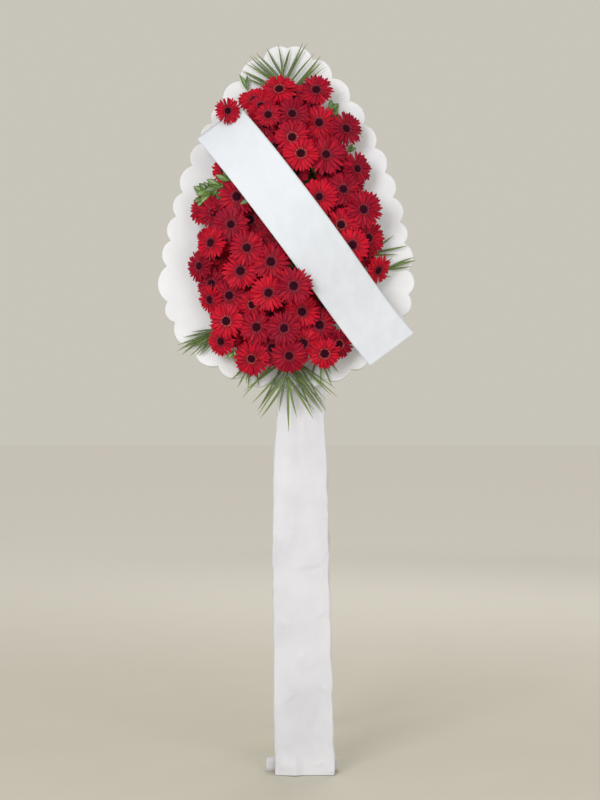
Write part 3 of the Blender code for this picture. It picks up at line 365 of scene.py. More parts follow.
class Finish:
    """A material with a Principled shader, and the few calls that its nodes are made with."""

    def __init__(self, name, colour, roughness, metallic=0.0, **sockets):
        self.material = bpy.data.materials.new(name)
        self.material.use_nodes = True
        self.nodes = self.material.node_tree.nodes
        self.links = self.material.node_tree.links
        self.shader = self.nodes["Principled BSDF"]
        self.material.diffuse_color = colour
        self.set({"Base Color": colour, "Roughness": roughness, "Metallic": metallic})
        for key, value in sockets.items():
            self.set({key.replace("_", " ").title().replace("Ior", "IOR"): value})

    def set(self, values):
        for name, value in values.items():
            self.feed(self.shader.inputs[name], value)

    def feed(self, socket, value):
        if isinstance(value, Socket):
            value = value.value
        if isinstance(value, bpy.types.NodeSocket):
            self.links.new(value, socket)
        else:
            socket.default_value = value

    def node(self, kind, output, settings=None, inputs=None):
        """Any node: its settings first, then its inputs by name or place."""
        node = self.nodes.new(kind)
        for name, value in (settings or {}).items():
            setattr(node, name, value)
        for name, value in (inputs or {}).items():
            self.feed(node.inputs[name], value)
        return Socket(self, node.outputs[output])

    def read(self, *names):
        """The values of this name that a Heap gives its points."""
        return [self.node("ShaderNodeAttribute", "Fac", {"attribute_name": name}) for name in names]

    def place(self, scale=(1, 1, 1), turn=(0, 0, 0)):
        """The point on the piece in metres, turned and then scaled."""
        inputs = {
            "Vector": self.node("ShaderNodeTexCoord", "Object"), "Rotation": turn, "Scale": scale,
        }
        return self.node("ShaderNodeMapping", "Vector", {"vector_type": "POINT"}, inputs)

    def noise(self, scale, detail=2.0, place=None, roughness=0.5):
        inputs = {"Scale": scale, "Detail": detail, "Roughness": roughness, "Vector": place or self.place()}
        return self.node("ShaderNodeTexNoise", "Fac", None, inputs)

    def cells(self, scale, feature="F1", place=None):
        """The distance to a cell's point, or to its edge."""
        inputs = {"Vector": place or self.place(), "Scale": scale}
        return self.node("ShaderNodeTexVoronoi", "Distance", {"feature": feature}, inputs)

    def waves(self, direction, place, scale, distortion, detail=2.0):
        inputs = {"Vector": place, "Scale": scale, "Distortion": distortion, "Detail": detail}
        settings = {"wave_type": "BANDS", "bands_direction": direction}
        return self.node("ShaderNodeTexWave", "Fac", settings, inputs)

    def mix(self, share, first, second):
        """Two colours mixed by a share."""
        inputs = {0: share, 6: first, 7: second}
        return self.node("ShaderNodeMix", 2, {"data_type": "RGBA"}, inputs)

    def bump(self, height, strength, distance):
        inputs = {"Height": height, "Strength": strength, "Distance": distance}
        return self.node("ShaderNodeBump", "Normal", None, inputs)


# Finishes


def ray_petals():
    """Gerbera petals: deep at the root, brighter along the edge, with fine grooves and painted shade along
    the middle fold.
    """
    finish = Finish("gerbera_petals", linear(196, 6, 26), 0.55, specular_ior_level=0.14)
    along, across, both = finish.read("along", "across", "tone")
    under = both.step(1.2, 1.8)
    tone = both - under * 2.0
    deep = finish.mix(tone, linear(104, 2, 20), linear(180, 2, 20))
    bright = finish.mix(tone, linear(150, 8, 42), linear(222, 10, 44))
    colour = finish.mix(along.step(0.05, 0.7), deep, bright)
    edge = (across * across).step(0.5, 1.0) * 0.42
    colour = finish.mix(edge, colour, finish.mix(tone, linear(178, 36, 68), linear(234, 68, 90)))
    # Painted shade: a darker line along each petal's middle, where the cupped petal folds down.
    fold = 1 - across.math("ABSOLUTE").step(0.0, 0.25)
    colour = finish.mix(fold * 0.35, colour, linear(104, 3, 16))
    grooves = (across * 15.0).math("SINE")
    colour = finish.mix(grooves.step(0.2, 1.0) * 0.22, colour, linear(92, 3, 16))
    patches = finish.noise(90.0, 2.0).step(0.45, 0.75) * 0.3
    colour = finish.mix(patches, colour, linear(130, 4, 26))
    colour = finish.mix(under * 0.75, colour, linear(216, 112, 112))
    normal = finish.bump(grooves, 0.45, 0.3 * MM)
    finish.set({"Base Color": colour, "Normal": normal, "Roughness": 0.42 + patches * 0.5})
    return finish.material


def floret(name, root, tip, roughness):
    """The short inner florets, from a dark root to a lighter tip."""
    finish = Finish(name, tip, roughness, specular_ior_level=0.12)
    along, tone = finish.read("along", "tone")
    colour = finish.mix(along.step(0.1, 1.0), root, tip)
    finish.set({"Base Color": finish.mix(tone * 0.35, colour, root)})
    return finish.material


def dark_eye():
    """The eye's tight closed florets, with painted shade in the gaps between them."""
    finish = Finish("gerbera_eye", linear(44, 6, 16), 0.8, specular_ior_level=0.08)
    cells = finish.cells(900.0)
    # Painted shade: darker away from each floret's middle, in the gaps that the bump sinks.
    colour = finish.mix(cells.step(0.1, 0.7), linear(76, 10, 34), linear(28, 3, 14))
    finish.set({"Base Color": colour, "Normal": finish.bump(1 - cells, 0.9, 0.6 * MM)})
    return finish.material


def stalk_green():
    finish = Finish("stalk_green", linear(96, 122, 58), 0.5)
    shade = finish.noise(60.0, 3.0)
    colour = finish.mix(shade.step(0.3, 0.7), linear(78, 104, 44), linear(122, 142, 78))
    finish.set({"Base Color": colour, "Normal": finish.bump(finish.noise(700.0), 0.3, 0.3 * MM)})
    return finish.material


def palm_green():
    """Palm leaflets: fine lengthwise veins, yellower towards the tip and along the fold."""
    finish = Finish("palm_leaflets", linear(92, 122, 60), 0.42)
    along, across, tone = finish.read("along", "across", "tone")
    colour = finish.mix(tone, linear(40, 66, 18), linear(98, 124, 44))
    colour = finish.mix(along.step(0.55, 1.0) * 0.45, colour, linear(152, 160, 86))
    fold = 1 - (across * across).step(0.0, 0.06)
    colour = finish.mix(fold * 0.5, colour, linear(172, 180, 128))
    veins = (across * 22.0).math("SINE")
    normal = finish.bump(veins, 0.4, 0.2 * MM)
    finish.set({"Base Color": colour, "Normal": normal, "Roughness": 0.36 + tone * 0.2})
    return finish.material


def leaf_green():
    """Broad glossy leaves with a pale midrib and slanting side veins."""
    finish = Finish("broad_leaves", linear(84, 112, 48), 0.32, coat_weight=0.25, coat_roughness=0.25)
    along, across, tone = finish.read("along", "across", "tone")
    colour = finish.mix(tone, linear(44, 76, 18), linear(104, 138, 42))
    side_veins = ((along * 44.0) - (across.math("ABSOLUTE") * 12.0)).math("SINE").step(0.7, 1.0)
    colour = finish.mix(side_veins * 0.25, colour, linear(140, 162, 84))
    midrib = 1 - across.math("ABSOLUTE").step(0.02, 0.12)
    colour = finish.mix(midrib * 0.5, colour, linear(160, 178, 104))
    patches = finish.noise(160.0, 3.0).step(0.4, 0.8) * 0.25
    colour = finish.mix(patches, colour, linear(52, 78, 30))
    finish.set({"Base Color": colour, "Normal": finish.bump(side_veins + midrib, 0.5, 0.3 * MM)})
    return finish.material


def cut_foam_board():
    """White expanded polystyrene: packed beads under a hot-wire skin, a few crumbs and scuffs, and painted
    shade in the seams between the beads.
    """
    finish = Finish("cut_polystyrene", linear(236, 235, 236), 0.72)
    beads = finish.cells(260.0)
    seams = finish.cells(260.0, "DISTANCE_TO_EDGE")
    gaps = 1 - seams.step(0.0, 0.14)
    broad = finish.noise(9.0, 3.0)
    colour = finish.mix(broad.step(0.3, 0.75), linear(223, 223, 228), linear(232, 232, 236))
    # Painted shade: the seams between the beads, which the bump sinks, are painted darker.
    colour = finish.mix(gaps * 0.18, colour, linear(206, 205, 208))
    scuffs = finish.noise(38.0, 5.0, roughness=0.7).step(0.62, 0.78) * 0.3
    colour = finish.mix(scuffs, colour, linear(214, 213, 214))
    height = (1 - beads) * 0.5 - gaps * 0.6 + broad * 1.5
    finish.set({"Base Color": colour, "Normal": finish.bump(height, 0.35, 0.6 * MM)})
    return finish.material


def wet_foam():
    """Green floral foam: crumbly fine pores and dents, with painted shade that darkens the dents."""
    finish = Finish("green_floral_foam", linear(44, 66, 40), 0.9)
    dents = finish.noise(70.0, 4.0, roughness=0.65)
    pores = finish.noise(1400.0, 2.0)
    # Painted shade: the colour darkens where the dents sink in.
    colour = finish.mix(dents.step(0.35, 0.7), linear(28, 44, 28), linear(58, 84, 50))
    finish.set({"Base Color": colour, "Normal": finish.bump(dents * 2.0 + pores * 0.5, 0.8, 1.0 * MM)})
    return finish.material


def weave(finish, place, threads):
    """A plain weave's height, with this many threads a metre."""
    across = finish.waves("X", place, threads / 20, 0.3)
    along = finish.waves("Y", place, threads / 20, 0.3)
    return across * along


def white_band():
    """Blank band cloth: a smooth cool white with a faint weave and soft long creases, and painted shade
    that darkens it towards its lower end.
    """
    finish = Finish("white_band_cloth", linear(228, 231, 236), 0.48, sheen_weight=0.25, sheen_roughness=0.3)
    across, along = finish.read("across", "along")
    place = finish.node("ShaderNodeCombineXYZ", "Vector", None, {"X": across * 0.074, "Y": along * 0.83})
    threads = weave(finish, place, 1100.0)
    creases = finish.noise(1.0, 3.0, finish.place((30.0, 6.0, 20.0), (0, 0, math.radians(-36))))
    # Painted shade: the cloth darkens along its length, from its upper end towards its lower end.
    colour = finish.mix(along.step(0.2, 0.75), linear(213, 218, 227), linear(204, 207, 214))
    # Painted highlight: the creases' raised crests are painted paler.
    colour = finish.mix(creases.step(0.35, 0.75) * 0.35, colour, linear(221, 225, 232))
    hem = (across * across).step(0.9, 0.97)
    colour = finish.mix(hem * 0.3, colour, linear(206, 208, 213))
    finish.set({
        "Base Color": colour,
        "Roughness": 0.42 + creases * 0.14,
        "Normal": finish.bump(threads * 0.2 + creases * 4.0, 0.3, 0.5 * MM),
    })
    return finish.material


def white_nonwoven():
    """Spun nonwoven cloth: matte fibres pressed with a fine grid of points, a few folds."""
    finish = Finish("white_nonwoven", linear(218, 218, 220), 0.85, sheen_weight=0.15)
    fibres = finish.noise(1.0, 4.0, finish.place((900.0, 900.0, 140.0)), roughness=0.7)
    points = finish.cells(420.0)
    broad = finish.noise(7.0, 3.0)
    colour = finish.mix(broad.step(0.3, 0.7), linear(207, 206, 213), linear(219, 218, 224))
    colour = finish.mix(fibres.step(0.5, 0.8) * 0.25, colour, linear(230, 229, 235))
    colour = finish.mix((1 - points.step(0.05, 0.3)) * 0.12, colour, linear(200, 200, 207))
    height = fibres * 0.6 + points * 0.5 + broad * 2.0
    finish.set({"Base Color": colour, "Normal": finish.bump(height, 0.4, 0.4 * MM)})
    return finish.material


def bare_pine():
    """Planed pine: grain along the piece and a few knots."""
    finish = Finish("bare_pine", linear(206, 172, 124), 0.6)
    grain = finish.noise(1.0, 4.0, finish.place((120.0, 120.0, 4.0)), roughness=0.6)
    rings = finish.waves("X", finish.place((1.0, 1.0, 0.05)), 42.0, 7.0)
    knots = finish.cells(1.0, place=finish.place((26.0, 26.0, 7.0)))
    colour = finish.mix(rings.step(0.2, 0.9), linear(218, 194, 154), linear(198, 168, 124))
    colour = finish.mix(grain.step(0.4, 0.7) * 0.5, colour, linear(184, 150, 106))
    colour = finish.mix(1 - knots.step(0.06, 0.16), colour, linear(112, 72, 42))
    finish.set({
        "Base Color": colour, "Roughness": 0.5 + grain * 0.25,
        "Normal": finish.bump(grain + rings * 0.5, 0.3, 0.3 * MM),
    })
    return finish.material


def zinc_steel():
    """Zinc plate with fine brushing and a little dulling."""
    finish = Finish("zinc_steel", linear(190, 190, 186), 0.32, 1.0)
    dull = finish.noise(160.0, 4.0)
    brushed = finish.noise(1.0, 2.0, finish.place((200.0, 2600.0, 2600.0)))
    colour = finish.mix(dull.step(0.4, 0.7), linear(196, 196, 192), linear(160, 161, 160))
    finish.set({
        "Base Color": colour, "Roughness": 0.24 + dull * 0.25,
        "Normal": finish.bump(brushed, 0.15, 0.1 * MM),
    })
    return finish.material


def bamboo_pick():
    finish = Finish("bamboo_pick", linear(176, 158, 104), 0.55)
    fibres = finish.noise(1.0, 3.0, finish.place((1200.0, 1200.0, 60.0)))
    finish.set({"Base Color": finish.mix(fibres, linear(150, 130, 80), linear(196, 178, 124))})
    return finish.material


FINISHES = {
    "petal": ray_petals(),
    "inner": floret("inner_florets", linear(78, 8, 26), linear(166, 24, 48), 0.55),
    "dark": floret("dark_florets", linear(34, 4, 18), linear(88, 16, 42), 0.6),
    "ring": floret("ring_florets", linear(104, 20, 42), linear(178, 84, 102), 0.55),
    "pale": floret("pale_florets", linear(150, 30, 38), linear(232, 130, 116), 0.55),
    "eye": dark_eye(),
    "stalk": stalk_green(),
    "pick": bamboo_pick(),
    "palm": palm_green(),
    "leaf": leaf_green(),
    "board": cut_foam_board(),
    "foam": wet_foam(),
    "band": white_band(),
    "cloth": white_nonwoven(),
    "pine": bare_pine(),
    "steel": zinc_steel(),
}


# Meshes


def put_in_scene(name, data):
    obj = bpy.data.objects.new(name, data)
    bpy.context.scene.collection.objects.link(obj)
    return obj


def keep_modified(piece):
    """Turns what the piece's modifiers make into its own mesh."""
    bpy.context.view_layer.update()
    evaluated = piece.evaluated_get(bpy.context.evaluated_depsgraph_get())
    piece.data = bpy.data.meshes.new_from_object(evaluated)
    piece.modifiers.clear()


def turned(way, degrees):
    """A direction turned round the board's own z."""
    return Matrix.Rotation(math.radians(degrees), 3, "Z") @ way


class Heap:
    """Points and faces gathered into one mesh, with the values that its finishes read."""

    def __init__(self, *finishes):
        self.finishes = finishes
        self.points, self.faces, self.slots, self.values = [], [], [], []

    def rings(self, rings, finish, values):
        """Skins closed rings of equal length. values gives (along, across, tone) a point."""
        start = len(self.points)
        around = len(rings[0])
        for ring, row in zip(rings, values):
            self.points.extend(ring)
            self.values.extend(row)
        slot = self.finishes.index(finish)
        for k in range(len(rings) - 1):
            for j in range(around):
                a, b = start + k * around + j, start + k * around + (j + 1) % around
                self.faces.append((a, b, b + around, a + around))
                self.slots.append(slot)
        last = start + (len(rings) - 1) * around
        self.faces.append(tuple(start + j for j in reversed(range(around))))
        self.faces.append(tuple(last + j for j in range(around)))
        self.slots += [slot, slot]

    def tube(self, route, radii, finish, sides=8):
        """A round stem through the route's points."""
        side = Vector((1, 0, 0))
        rings, values = [], []
        for k, (point, radius) in enumerate(zip(route, radii)):
            way = (route[min(k + 1, len(route) - 1)] - route[max(k - 1, 0)]).normalized()
            if abs(way.dot(side)) > 0.95:
                side = Vector((0, 1, 0))
            side = (side - way * side.dot(way)).normalized()
            other = way.cross(side)
            angles = [FULL_TURN * j / sides for j in range(sides)]
            rings.append([point + (side * math.cos(a) + other * math.sin(a)) * radius for a in angles])
            values.append([(k / len(route), math.cos(a), 0.5) for a in angles])
        self.rings(rings, finish, values)

    def piece(self, name, place=WREATH):
        mesh = bpy.data.meshes.new(name)
        mesh.from_pydata([place @ point for point in self.points], [], self.faces)
        for number, key in enumerate(("along", "across", "tone")):
            layer = mesh.attributes.new(key, "FLOAT", "POINT")
            layer.data.foreach_set("value", [row[number] for row in self.values])
        for finish in self.finishes:
            mesh.materials.append(FINISHES[finish])
        mesh.polygons.foreach_set("material_index", self.slots)
        mesh.polygons.foreach_set("use_smooth", [True] * len(self.faces))
        mesh.update()
        return put_in_scene(name, mesh)


def stands_for(piece, body, slot, *nodes):
    """Rides the piece on its body, in place of the nodes whose room it takes."""
    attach(piece, body)
    if nodes:
        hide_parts(*nodes)
    return piece


def through(rows, place):
    """A value at a place on a smooth curve through rows of (place, value)."""
    last = len(rows) - 1
    k = next(k for k in range(last) if place <= rows[k + 1][0] or k == last - 1)
    before, here, after, beyond = (rows[min(max(k + step, 0), last)] for step in (-1, 0, 1, 2))
    width = after[0] - here[0]
    t = (place - here[0]) / width
    slope_here = (after[1] - before[1]) / (after[0] - before[0]) * width
    slope_after = (beyond[1] - here[1]) / (beyond[0] - here[0]) * width
    return (
        (2 * t**3 - 3 * t**2 + 1) * here[1]
        + (t**3 - 2 * t**2 + t) * slope_here
        + (3 * t**2 - 2 * t**3) * after[1]
        + (t**3 - t**2) * slope_after
    )


# The blooms' places, by the same rules as the part's source


class Bloom:
    """A gerbera's flat disc: its place on the board, the way it faces and its height."""

    def __init__(self, number, x, y, radius, layer, turn, towards):
        self.number = number
        self.x, self.y, self.radius = x * MM, y * MM, radius * MM
        self.seen = (self.x, self.y)
        self.layer = layer
        slope = math.tan(math.radians(turn))
        side = math.radians(towards)
        self.normal = Vector((
            DOME_SLOPE * self.x / FIELD_HALF_WIDTH + slope * math.cos(side),
            DOME_SLOPE * self.y / FIELD_HALF_HEIGHT + slope * math.sin(side),
            1,
        )).normalized()
        self.turn = Vector((0, 0, 1)).rotation_difference(self.normal)
        self.samples = [
            self.turn @ Vector((math.cos(a), math.sin(a), 0)) * (self.radius * share)
            for share in (1.0, 0.7, 0.4)
            for a in (FULL_TURN * k / 18 for k in range(18))
        ]
        self.height = 0.0

    def rise_at(self, x, y):
        """How much higher than its middle the disc is over a point, or None beside it."""
        across = Vector((x - self.x, y - self.y, 0))
        across.z = -(self.normal.x * across.x + self.normal.y * across.y) / self.normal.z
        return across.z if across.length <= self.radius else None

    def move_for_view(self):
        """Shifts the bloom so that, at its height, it is seen where its row places it."""
        extra = self.height - VIEW_HEIGHT
        x, y = self.seen
        self.x = x * (1 - extra / VIEW_DISTANCE)
        self.y = y - extra * (math.tan(LEAN) + (VIEW_BELOW + y) / VIEW_DISTANCE)

    def centre(self):
        return Vector((self.x, self.y, self.height))


def pad_share(x, y):
    """How far out on the pad a point lies: 0 in its middle, 1 on its edge."""
    return math.hypot(x / PAD_HALF_WIDTH, y / PAD_HALF_HEIGHT)


def ground_height(x, y):
    return PAD_THICK + RIM_ABOVE_PAD if pad_share(x, y) < 1 else RIM_ABOVE_BOARD


def band_height(x, y):
    """The band's height over a point of the board, or None beside it."""
    start, end = Vector(BAND_START), Vector(BAND_END)
    along = (end - start).normalized()
    offset = Vector((x, y)) - start
    share = offset.dot(along) / (end - start).length
    if not 0 <= share <= 1 or abs(offset.dot(Vector((-along.y, along.x)))) > BAND_WIDTH / 2:
        return None
    return through(BAND_ARCH, share * 100) * MM


def settle(groups):
    """Gives each bloom its height: on the dome and clear of the other bunches behind it."""
    bunch = {bloom: number for number, group in enumerate(groups) for bloom in group}
    placed = []
    for bloom in sorted(bunch, key=lambda bloom: bloom.layer):
        out = (bloom.x / FIELD_HALF_WIDTH) ** 2 + (bloom.y / FIELD_HALF_HEIGHT) ** 2
        height = DOME_EDGE + DOME_RISE * (1 - out)
        for point in bloom.samples:
            x, y = bloom.x + point.x, bloom.y + point.y
            height = max(height, ground_height(x, y) - point.z)
            band = band_height(x, y) if bloom.layer == OVER_BAND else None
            if band is not None:
                height = max(height, band + LAYER_GAP - point.z)
            for other in placed:
                rise = other.rise_at(x, y)
                if rise is not None:
                    gap = -SINK_IN_BUNCH if bunch[other] == bunch[bloom] else LAYER_GAP
                    height = max(height, other.height + rise + gap - point.z)
        for other in placed:
            gap = -SINK_IN_BUNCH if bunch[other] == bunch[bloom] else LAYER_GAP
            for point in other.samples:
                rise = bloom.rise_at(other.x + point.x, other.y + point.y)
                if rise is not None:
                    height = max(height, other.height + point.z + gap - rise)
        bloom.height = height
        placed.append(bloom)


def lay_out(groups):
    """Settles the blooms, and moves each for its height, until the two agree."""
    for _ in range(4):
        settle(groups)
        for bloom in (bloom for group in groups for bloom in group):
            bloom.move_for_view()
    settle(groups)


def spread(group):
    return max(math.hypot(a.x - b.x, a.y - b.y) for a in group for b in group)


def bunches_of(blooms):
    """Joins the closest neighbours into bunches, each on one pick."""
    groups = [[bloom] for bloom in blooms]
    while len(groups) > BUNCHES:
        pairs = [
            (spread(a + b), i, j)
            for i, a in enumerate(groups)
            for j, b in enumerate(groups[:i])
            if len(a) + len(b) <= MOST_IN_BUNCH
        ]
        _, i, j = min(pairs)
        groups[j] += groups.pop(i)
    return groups


def pick_places(groups):
    """Each bunch's place in the pad: under its middle, moved in from the pad's edge."""
    places = []
    for group in groups:
        place = Vector((sum(b.x for b in group) / len(group), sum(b.y for b in group) / len(group)))
        out = pad_share(*place)
        if out > PICK_REACH:
            place = place * (PICK_REACH / out)
        for other in places:
            if (place - other).length < PICK_SPACING:
                place += (place - other).normalized() * (PICK_SPACING - (place - other).length)
        places.append(place)
    return places


def stem_route(bloom, pick):
    """From the bloom's cup, straight back and then over to its pick."""
    centre = bloom.centre()
    neck = centre - bloom.normal * STEM_NECK
    route = [centre - bloom.normal * CUP_DEPTH, neck]
    if bloom.layer == OVER_BAND:
        route.append(Vector((neck.x, neck.y, PICK_TOP + 14 * MM)))
    return route + [Vector((pick.x, pick.y, PICK_TOP))]


def crossings(bloom, routes):
    """Where other bunches' stems pass through the bloom's disc: how far out and at what angle."""
    found = []
    back = bloom.turn.inverted()
    for route in routes:
        for start, end in zip(route, route[1:]):
            a, b = (back @ (point - bloom.centre()) for point in (start, end))
            if a.z * b.z > 0:
                continue
            hit = a.lerp(b, a.z / (a.z - b.z)) if a.z != b.z else a
            if hit.xy.length < bloom.radius + STEM_RADIUS:
                found.append((hit.xy.length, math.atan2(hit.y, hit.x)))
    return found


# Gerberas

PETAL_THICK = 0.5 * MM
# Share of a petal's length and how wide it is there
PETAL_OUTLINE = (
    (0, 0.42), (0.14, 0.52), (0.34, 0.72), (0.56, 0.93), (0.74, 1.0), (0.88, 0.80), (0.96, 0.46),
    (1.0, 0.14),
)
# The dome of an eye: share of its radius, share of its height
EYE_OUTLINE = ((1.0, -0.3), (1.0, 0.35), (0.86, 0.8), (0.62, 1.0), (0.36, 0.92), (0.12, 0.7))
EYE_SIDES = 20
# Rows of petals: how many, their reach in radii, the row's start in petals, and how high they
# rise and at most droop, in millimetres
PETAL_ROWS = ((19, 1.06, 0.25, -0.4, 5.0), (19, 1.0, 0.75, 0.8, 3.4), (17, 0.88, 0.0, 2.2, 2.4))
# The most that a bloom nods, in degrees, and how many of its petals are curled
MOST_NOD = 8
CURLED_SHARE = 0.16
# Rows of florets round the eye: how many, from and to in the eye's radii, width, finish, rise
FLORET_ROWS = (
    (24, 0.7, 1.95, 0.26, "inner", 2.4), (26, 0.95, 1.6, 0.14, "ring", 3.1),
    (22, 0.6, 1.18, 0.26, "dark", 3.5),
)
# Round a petal or leaf: how far across, and whether on its top or its underside
ACROSS = ((-1.0, 0), (-0.5, 0), (0.0, 0), (0.5, 0), (1.0, 0), (0.5, 1), (0.0, 1), (-0.5, 1))


def petal(heap, frame, finish, near, far, angle, width, rise, droop, cup, twist, tone):
    """One petal from near to far out: it rises from the eye, levels out and droops."""
    rings, values = [], []
    outward = Vector((math.cos(angle), math.sin(angle), 0))
    side = Vector((-math.sin(angle), math.cos(angle), 0))
    for share, wide in PETAL_OUTLINE:
        out = near + (far - near) * share
        height = rise * math.sin(math.pi * min(share * 1.15, 1) * 0.5) - droop * share**2.2
        flat, tilt = math.cos(twist * share), math.sin(twist * share)
        ring, row = [], []
        for across, under in ACROSS:
            lift = cup * across * across * wide - (PETAL_THICK if under else 0)
            lift += across * tilt * wide * width / 2
            point = outward * out + side * (across * flat * wide * width / 2)
            ring.append(frame @ (point + Vector((0, 0, height + lift))))
            row.append((share, across, tone + 2 * under))
        rings.append(ring)
        values.append(row)
    heap.rings(rings, finish, values)


def eye_dome(heap, frame, radius, height):
    """The eye: a low dome of tight florets, a little hollow in its middle."""
    rings, values = [], []
    for share, up in EYE_OUTLINE:
        ring = []
        for k in range(EYE_SIDES):
            angle = FULL_TURN * k / EYE_SIDES
            out = radius * share * (1 + 0.06 * math.sin(5 * angle + 9 * share))
            ring.append(frame @ Vector((out * math.cos(angle), out * math.sin(angle), height * up)))
        rings.append(ring)
        values.append([(share, 0.0, 0.5)] * EYE_SIDES)
    heap.rings(rings, "eye", values)


def gerbera(heap, bloom, draw, phase, route, stems):
    """A whole bloom on its stem. Its petals stop short of other bunches' stems."""
    nod_axis = Vector((math.cos(9 * phase), math.sin(9 * phase), 0))
    nod = Matrix.Rotation(math.radians(draw.uniform(0, MOST_NOD)), 4, nod_axis)
    facing = bloom.turn.to_matrix().to_4x4() @ nod
    frame = Matrix.Translation(bloom.centre()) @ facing @ Matrix.Rotation(phase, 4, "Z")
    radius = bloom.radius
    mood = draw.uniform(0.0, 0.85)
    eye = min(10.5 * MM, radius * 0.24) * draw.uniform(0.88, 1.08)
    open_above = bloom.layer == OVER_BAND or band_height(bloom.x, bloom.y) is None
    stem_room = STEM_RADIUS + STEM_ROOM
    for count, reach, offset, lift, most_droop in PETAL_ROWS:
        for k in range(count):
            angle = (k + offset) * FULL_TURN / count + draw.uniform(-0.07, 0.07)
            far = radius * reach * draw.uniform(0.9, 1.02)
            for out, at in stems:
                apart = abs((angle + phase - at + math.pi) % FULL_TURN - math.pi)
                if apart < stem_room / out + 0.26:
                    far = max(min(far, out - stem_room), eye * 1.3)
            curled = draw.random() < CURLED_SHARE and open_above
            width = radius * draw.uniform(0.15, 0.185)
            rise = lift * MM + draw.uniform(0, 0.8) * MM
            droop = draw.uniform(0.2, most_droop) * MM
            cup = draw.uniform(0.1, 1.0) * MM
            twist = draw.uniform(-0.25, 0.25) + curled * draw.choice((-1, 1)) * draw.uniform(0.8, 1.4)
            tone = min(1, max(0, mood + draw.uniform(-0.3, 0.3)))
            petal(heap, frame, "petal", eye * 0.6, far, angle, width, rise, droop, cup, twist, tone)
    for count, near, far, wide, finish, lift in FLORET_ROWS:
        if finish == "ring" and bloom.number in PALE_RINGS:
            finish = "pale"
        for k in range(count):
            angle = (k + 0.3 * lift) * FULL_TURN / count + draw.uniform(-0.09, 0.09)
            tip = eye * far * draw.uniform(0.82, 1.0)
            petal(
                heap, frame, finish, eye * near, tip, angle, eye * wide, lift * MM, 0.3 * MM, 0.3 * MM,
                draw.uniform(-0.3, 0.3), draw.random(),
            )
    eye_dome(heap, frame, eye * 0.78, 4.6 * MM)
    cup = [frame @ Vector((0, 0, z * MM)) for z in (-0.4, -2.4, -5.0, -7.5)]
    heap.tube(cup, [eye * 0.8, eye * 0.66, eye * 0.4, STEM_RADIUS * 1.1], "stalk", 12)
    stem = [route[0]]
    for here, after in zip(route[1:], route[2:]):
        stem += [here, here.lerp(after, 0.5)]
    stem.append(route[-1])
    heap.tube(stem, [STEM_RADIUS] * len(stem), "stalk")


def clear_height(x, y, radius, blooms):
    """How high a small bloom can sit below the others over it, and the least it needs."""
    highest = DOME_EDGE + DOME_RISE
    spots = [(0, 0)] + [
        (radius * share * math.cos(FULL_TURN * k / 12), radius * share * math.sin(FULL_TURN * k / 12))
        for share in (0.55, 1.0)
        for k in range(12)
    ]
    lowest = max(ground_height(x + across, y + up) for across, up in spots)
    for across, up in spots:
        for bloom in blooms:
            rise = bloom.rise_at(x + across, y + up)
            if rise is not None:
                highest = min(highest, bloom.height + rise - FILLER_ROOM)
    return highest, lowest


def fillers(groups):
    """Small half-open blooms low in the gaps between the others, each with its bunch."""
    draw = random.Random(8)
    blooms = [bloom for group in groups for bloom in group]
    added = [[] for _ in groups]

    def add(x, y, radius, highest):
        near = min(range(len(groups)), key=lambda k: min(
            math.hypot(bloom.x - x, bloom.y - y) for bloom in groups[k]
        ))
        filler = Bloom(-1, x / MM, y / MM, radius / MM, 0, draw.uniform(0, 24), draw.uniform(0, 360))
        filler.height = highest
        added[near].append(filler)
        blooms.append(filler)

    leaves = LEAVES_OVER + LEAVES_BETWEEN
    for x, y, radius in EDGE_FILLERS:
        x, y, radius = x * MM, y * MM, radius * MM
        add(x, y, radius, max(clear_height(x, y, radius, blooms)))
    for row in range(int(2 * FIELD_HALF_HEIGHT / FILLER_STEP)):
        for column in range(int(2 * FIELD_HALF_WIDTH / FILLER_STEP)):
            x = (column + 0.5 * (row % 2)) * FILLER_STEP - FIELD_HALF_WIDTH + draw.uniform(-3, 3) * MM
            y = row * FILLER_STEP - FIELD_HALF_HEIGHT + draw.uniform(-3, 3) * MM
            beside = [math.hypot(bloom.x - x, bloom.y - y) / bloom.radius for bloom in blooms]
            if min(beside) < FILLER_APART or sorted(beside)[2] > FILLER_NEAR_THIRD:
                continue
            if min(math.hypot(leaf[0] * MM - x, leaf[1] * MM - y) for leaf in leaves) < FILLER_FROM_LEAF:
                continue
            close = [bloom for bloom, share in zip(blooms, beside) if share < FILLER_AROUND]
            ways = [Vector((bloom.x - x, bloom.y - y)).normalized() for bloom in close]
            if sum(ways, Vector((0, 0))).length > FILLER_ONE_SIDED * len(ways):
                continue
            radius = draw.uniform(24, 29) * MM
            highest, lowest = clear_height(x, y, radius, blooms)
            if highest < lowest + FILLER_LEAST_ROOM:
                continue
            add(x, y, radius, highest)
    return added


def make_gerberas():
    draw = random.Random(11)
    fine = random.Random(5)
    groups = bunches_of([Bloom(number, *row) for number, row in enumerate(BLOOMS)])
    lay_out(groups)
    picks = pick_places(groups)
    for group, more in zip(groups, fillers(groups)):
        group += more
    routes = [[stem_route(bloom, pick) for bloom in group] for group, pick in zip(groups, picks)]
    for number, (group, pick, own) in enumerate(zip(groups, picks, routes), 1):
        others = [route for stems in routes if stems is not own for route in stems]
        heap = Heap("petal", "inner", "dark", "ring", "pale", "eye", "stalk", "pick")
        pick_ends = [Vector((*pick, PICK_FOOT)), Vector((*pick, PICK_TOP + 2 * MM))]
        heap.tube(pick_ends, [PICK_RADIUS] * 2, "pick", 10)
        for bloom, route in zip(group, own):
            gerbera(heap, bloom, fine, draw.uniform(0, 1), route, crossings(bloom, others))
        stands_for(heap.piece(f"gerberas_{number:02d}"), "stand", "petals", f"blooms_{number:02d}")
    return [bloom for group in groups for bloom in group]


# Palm and leaves

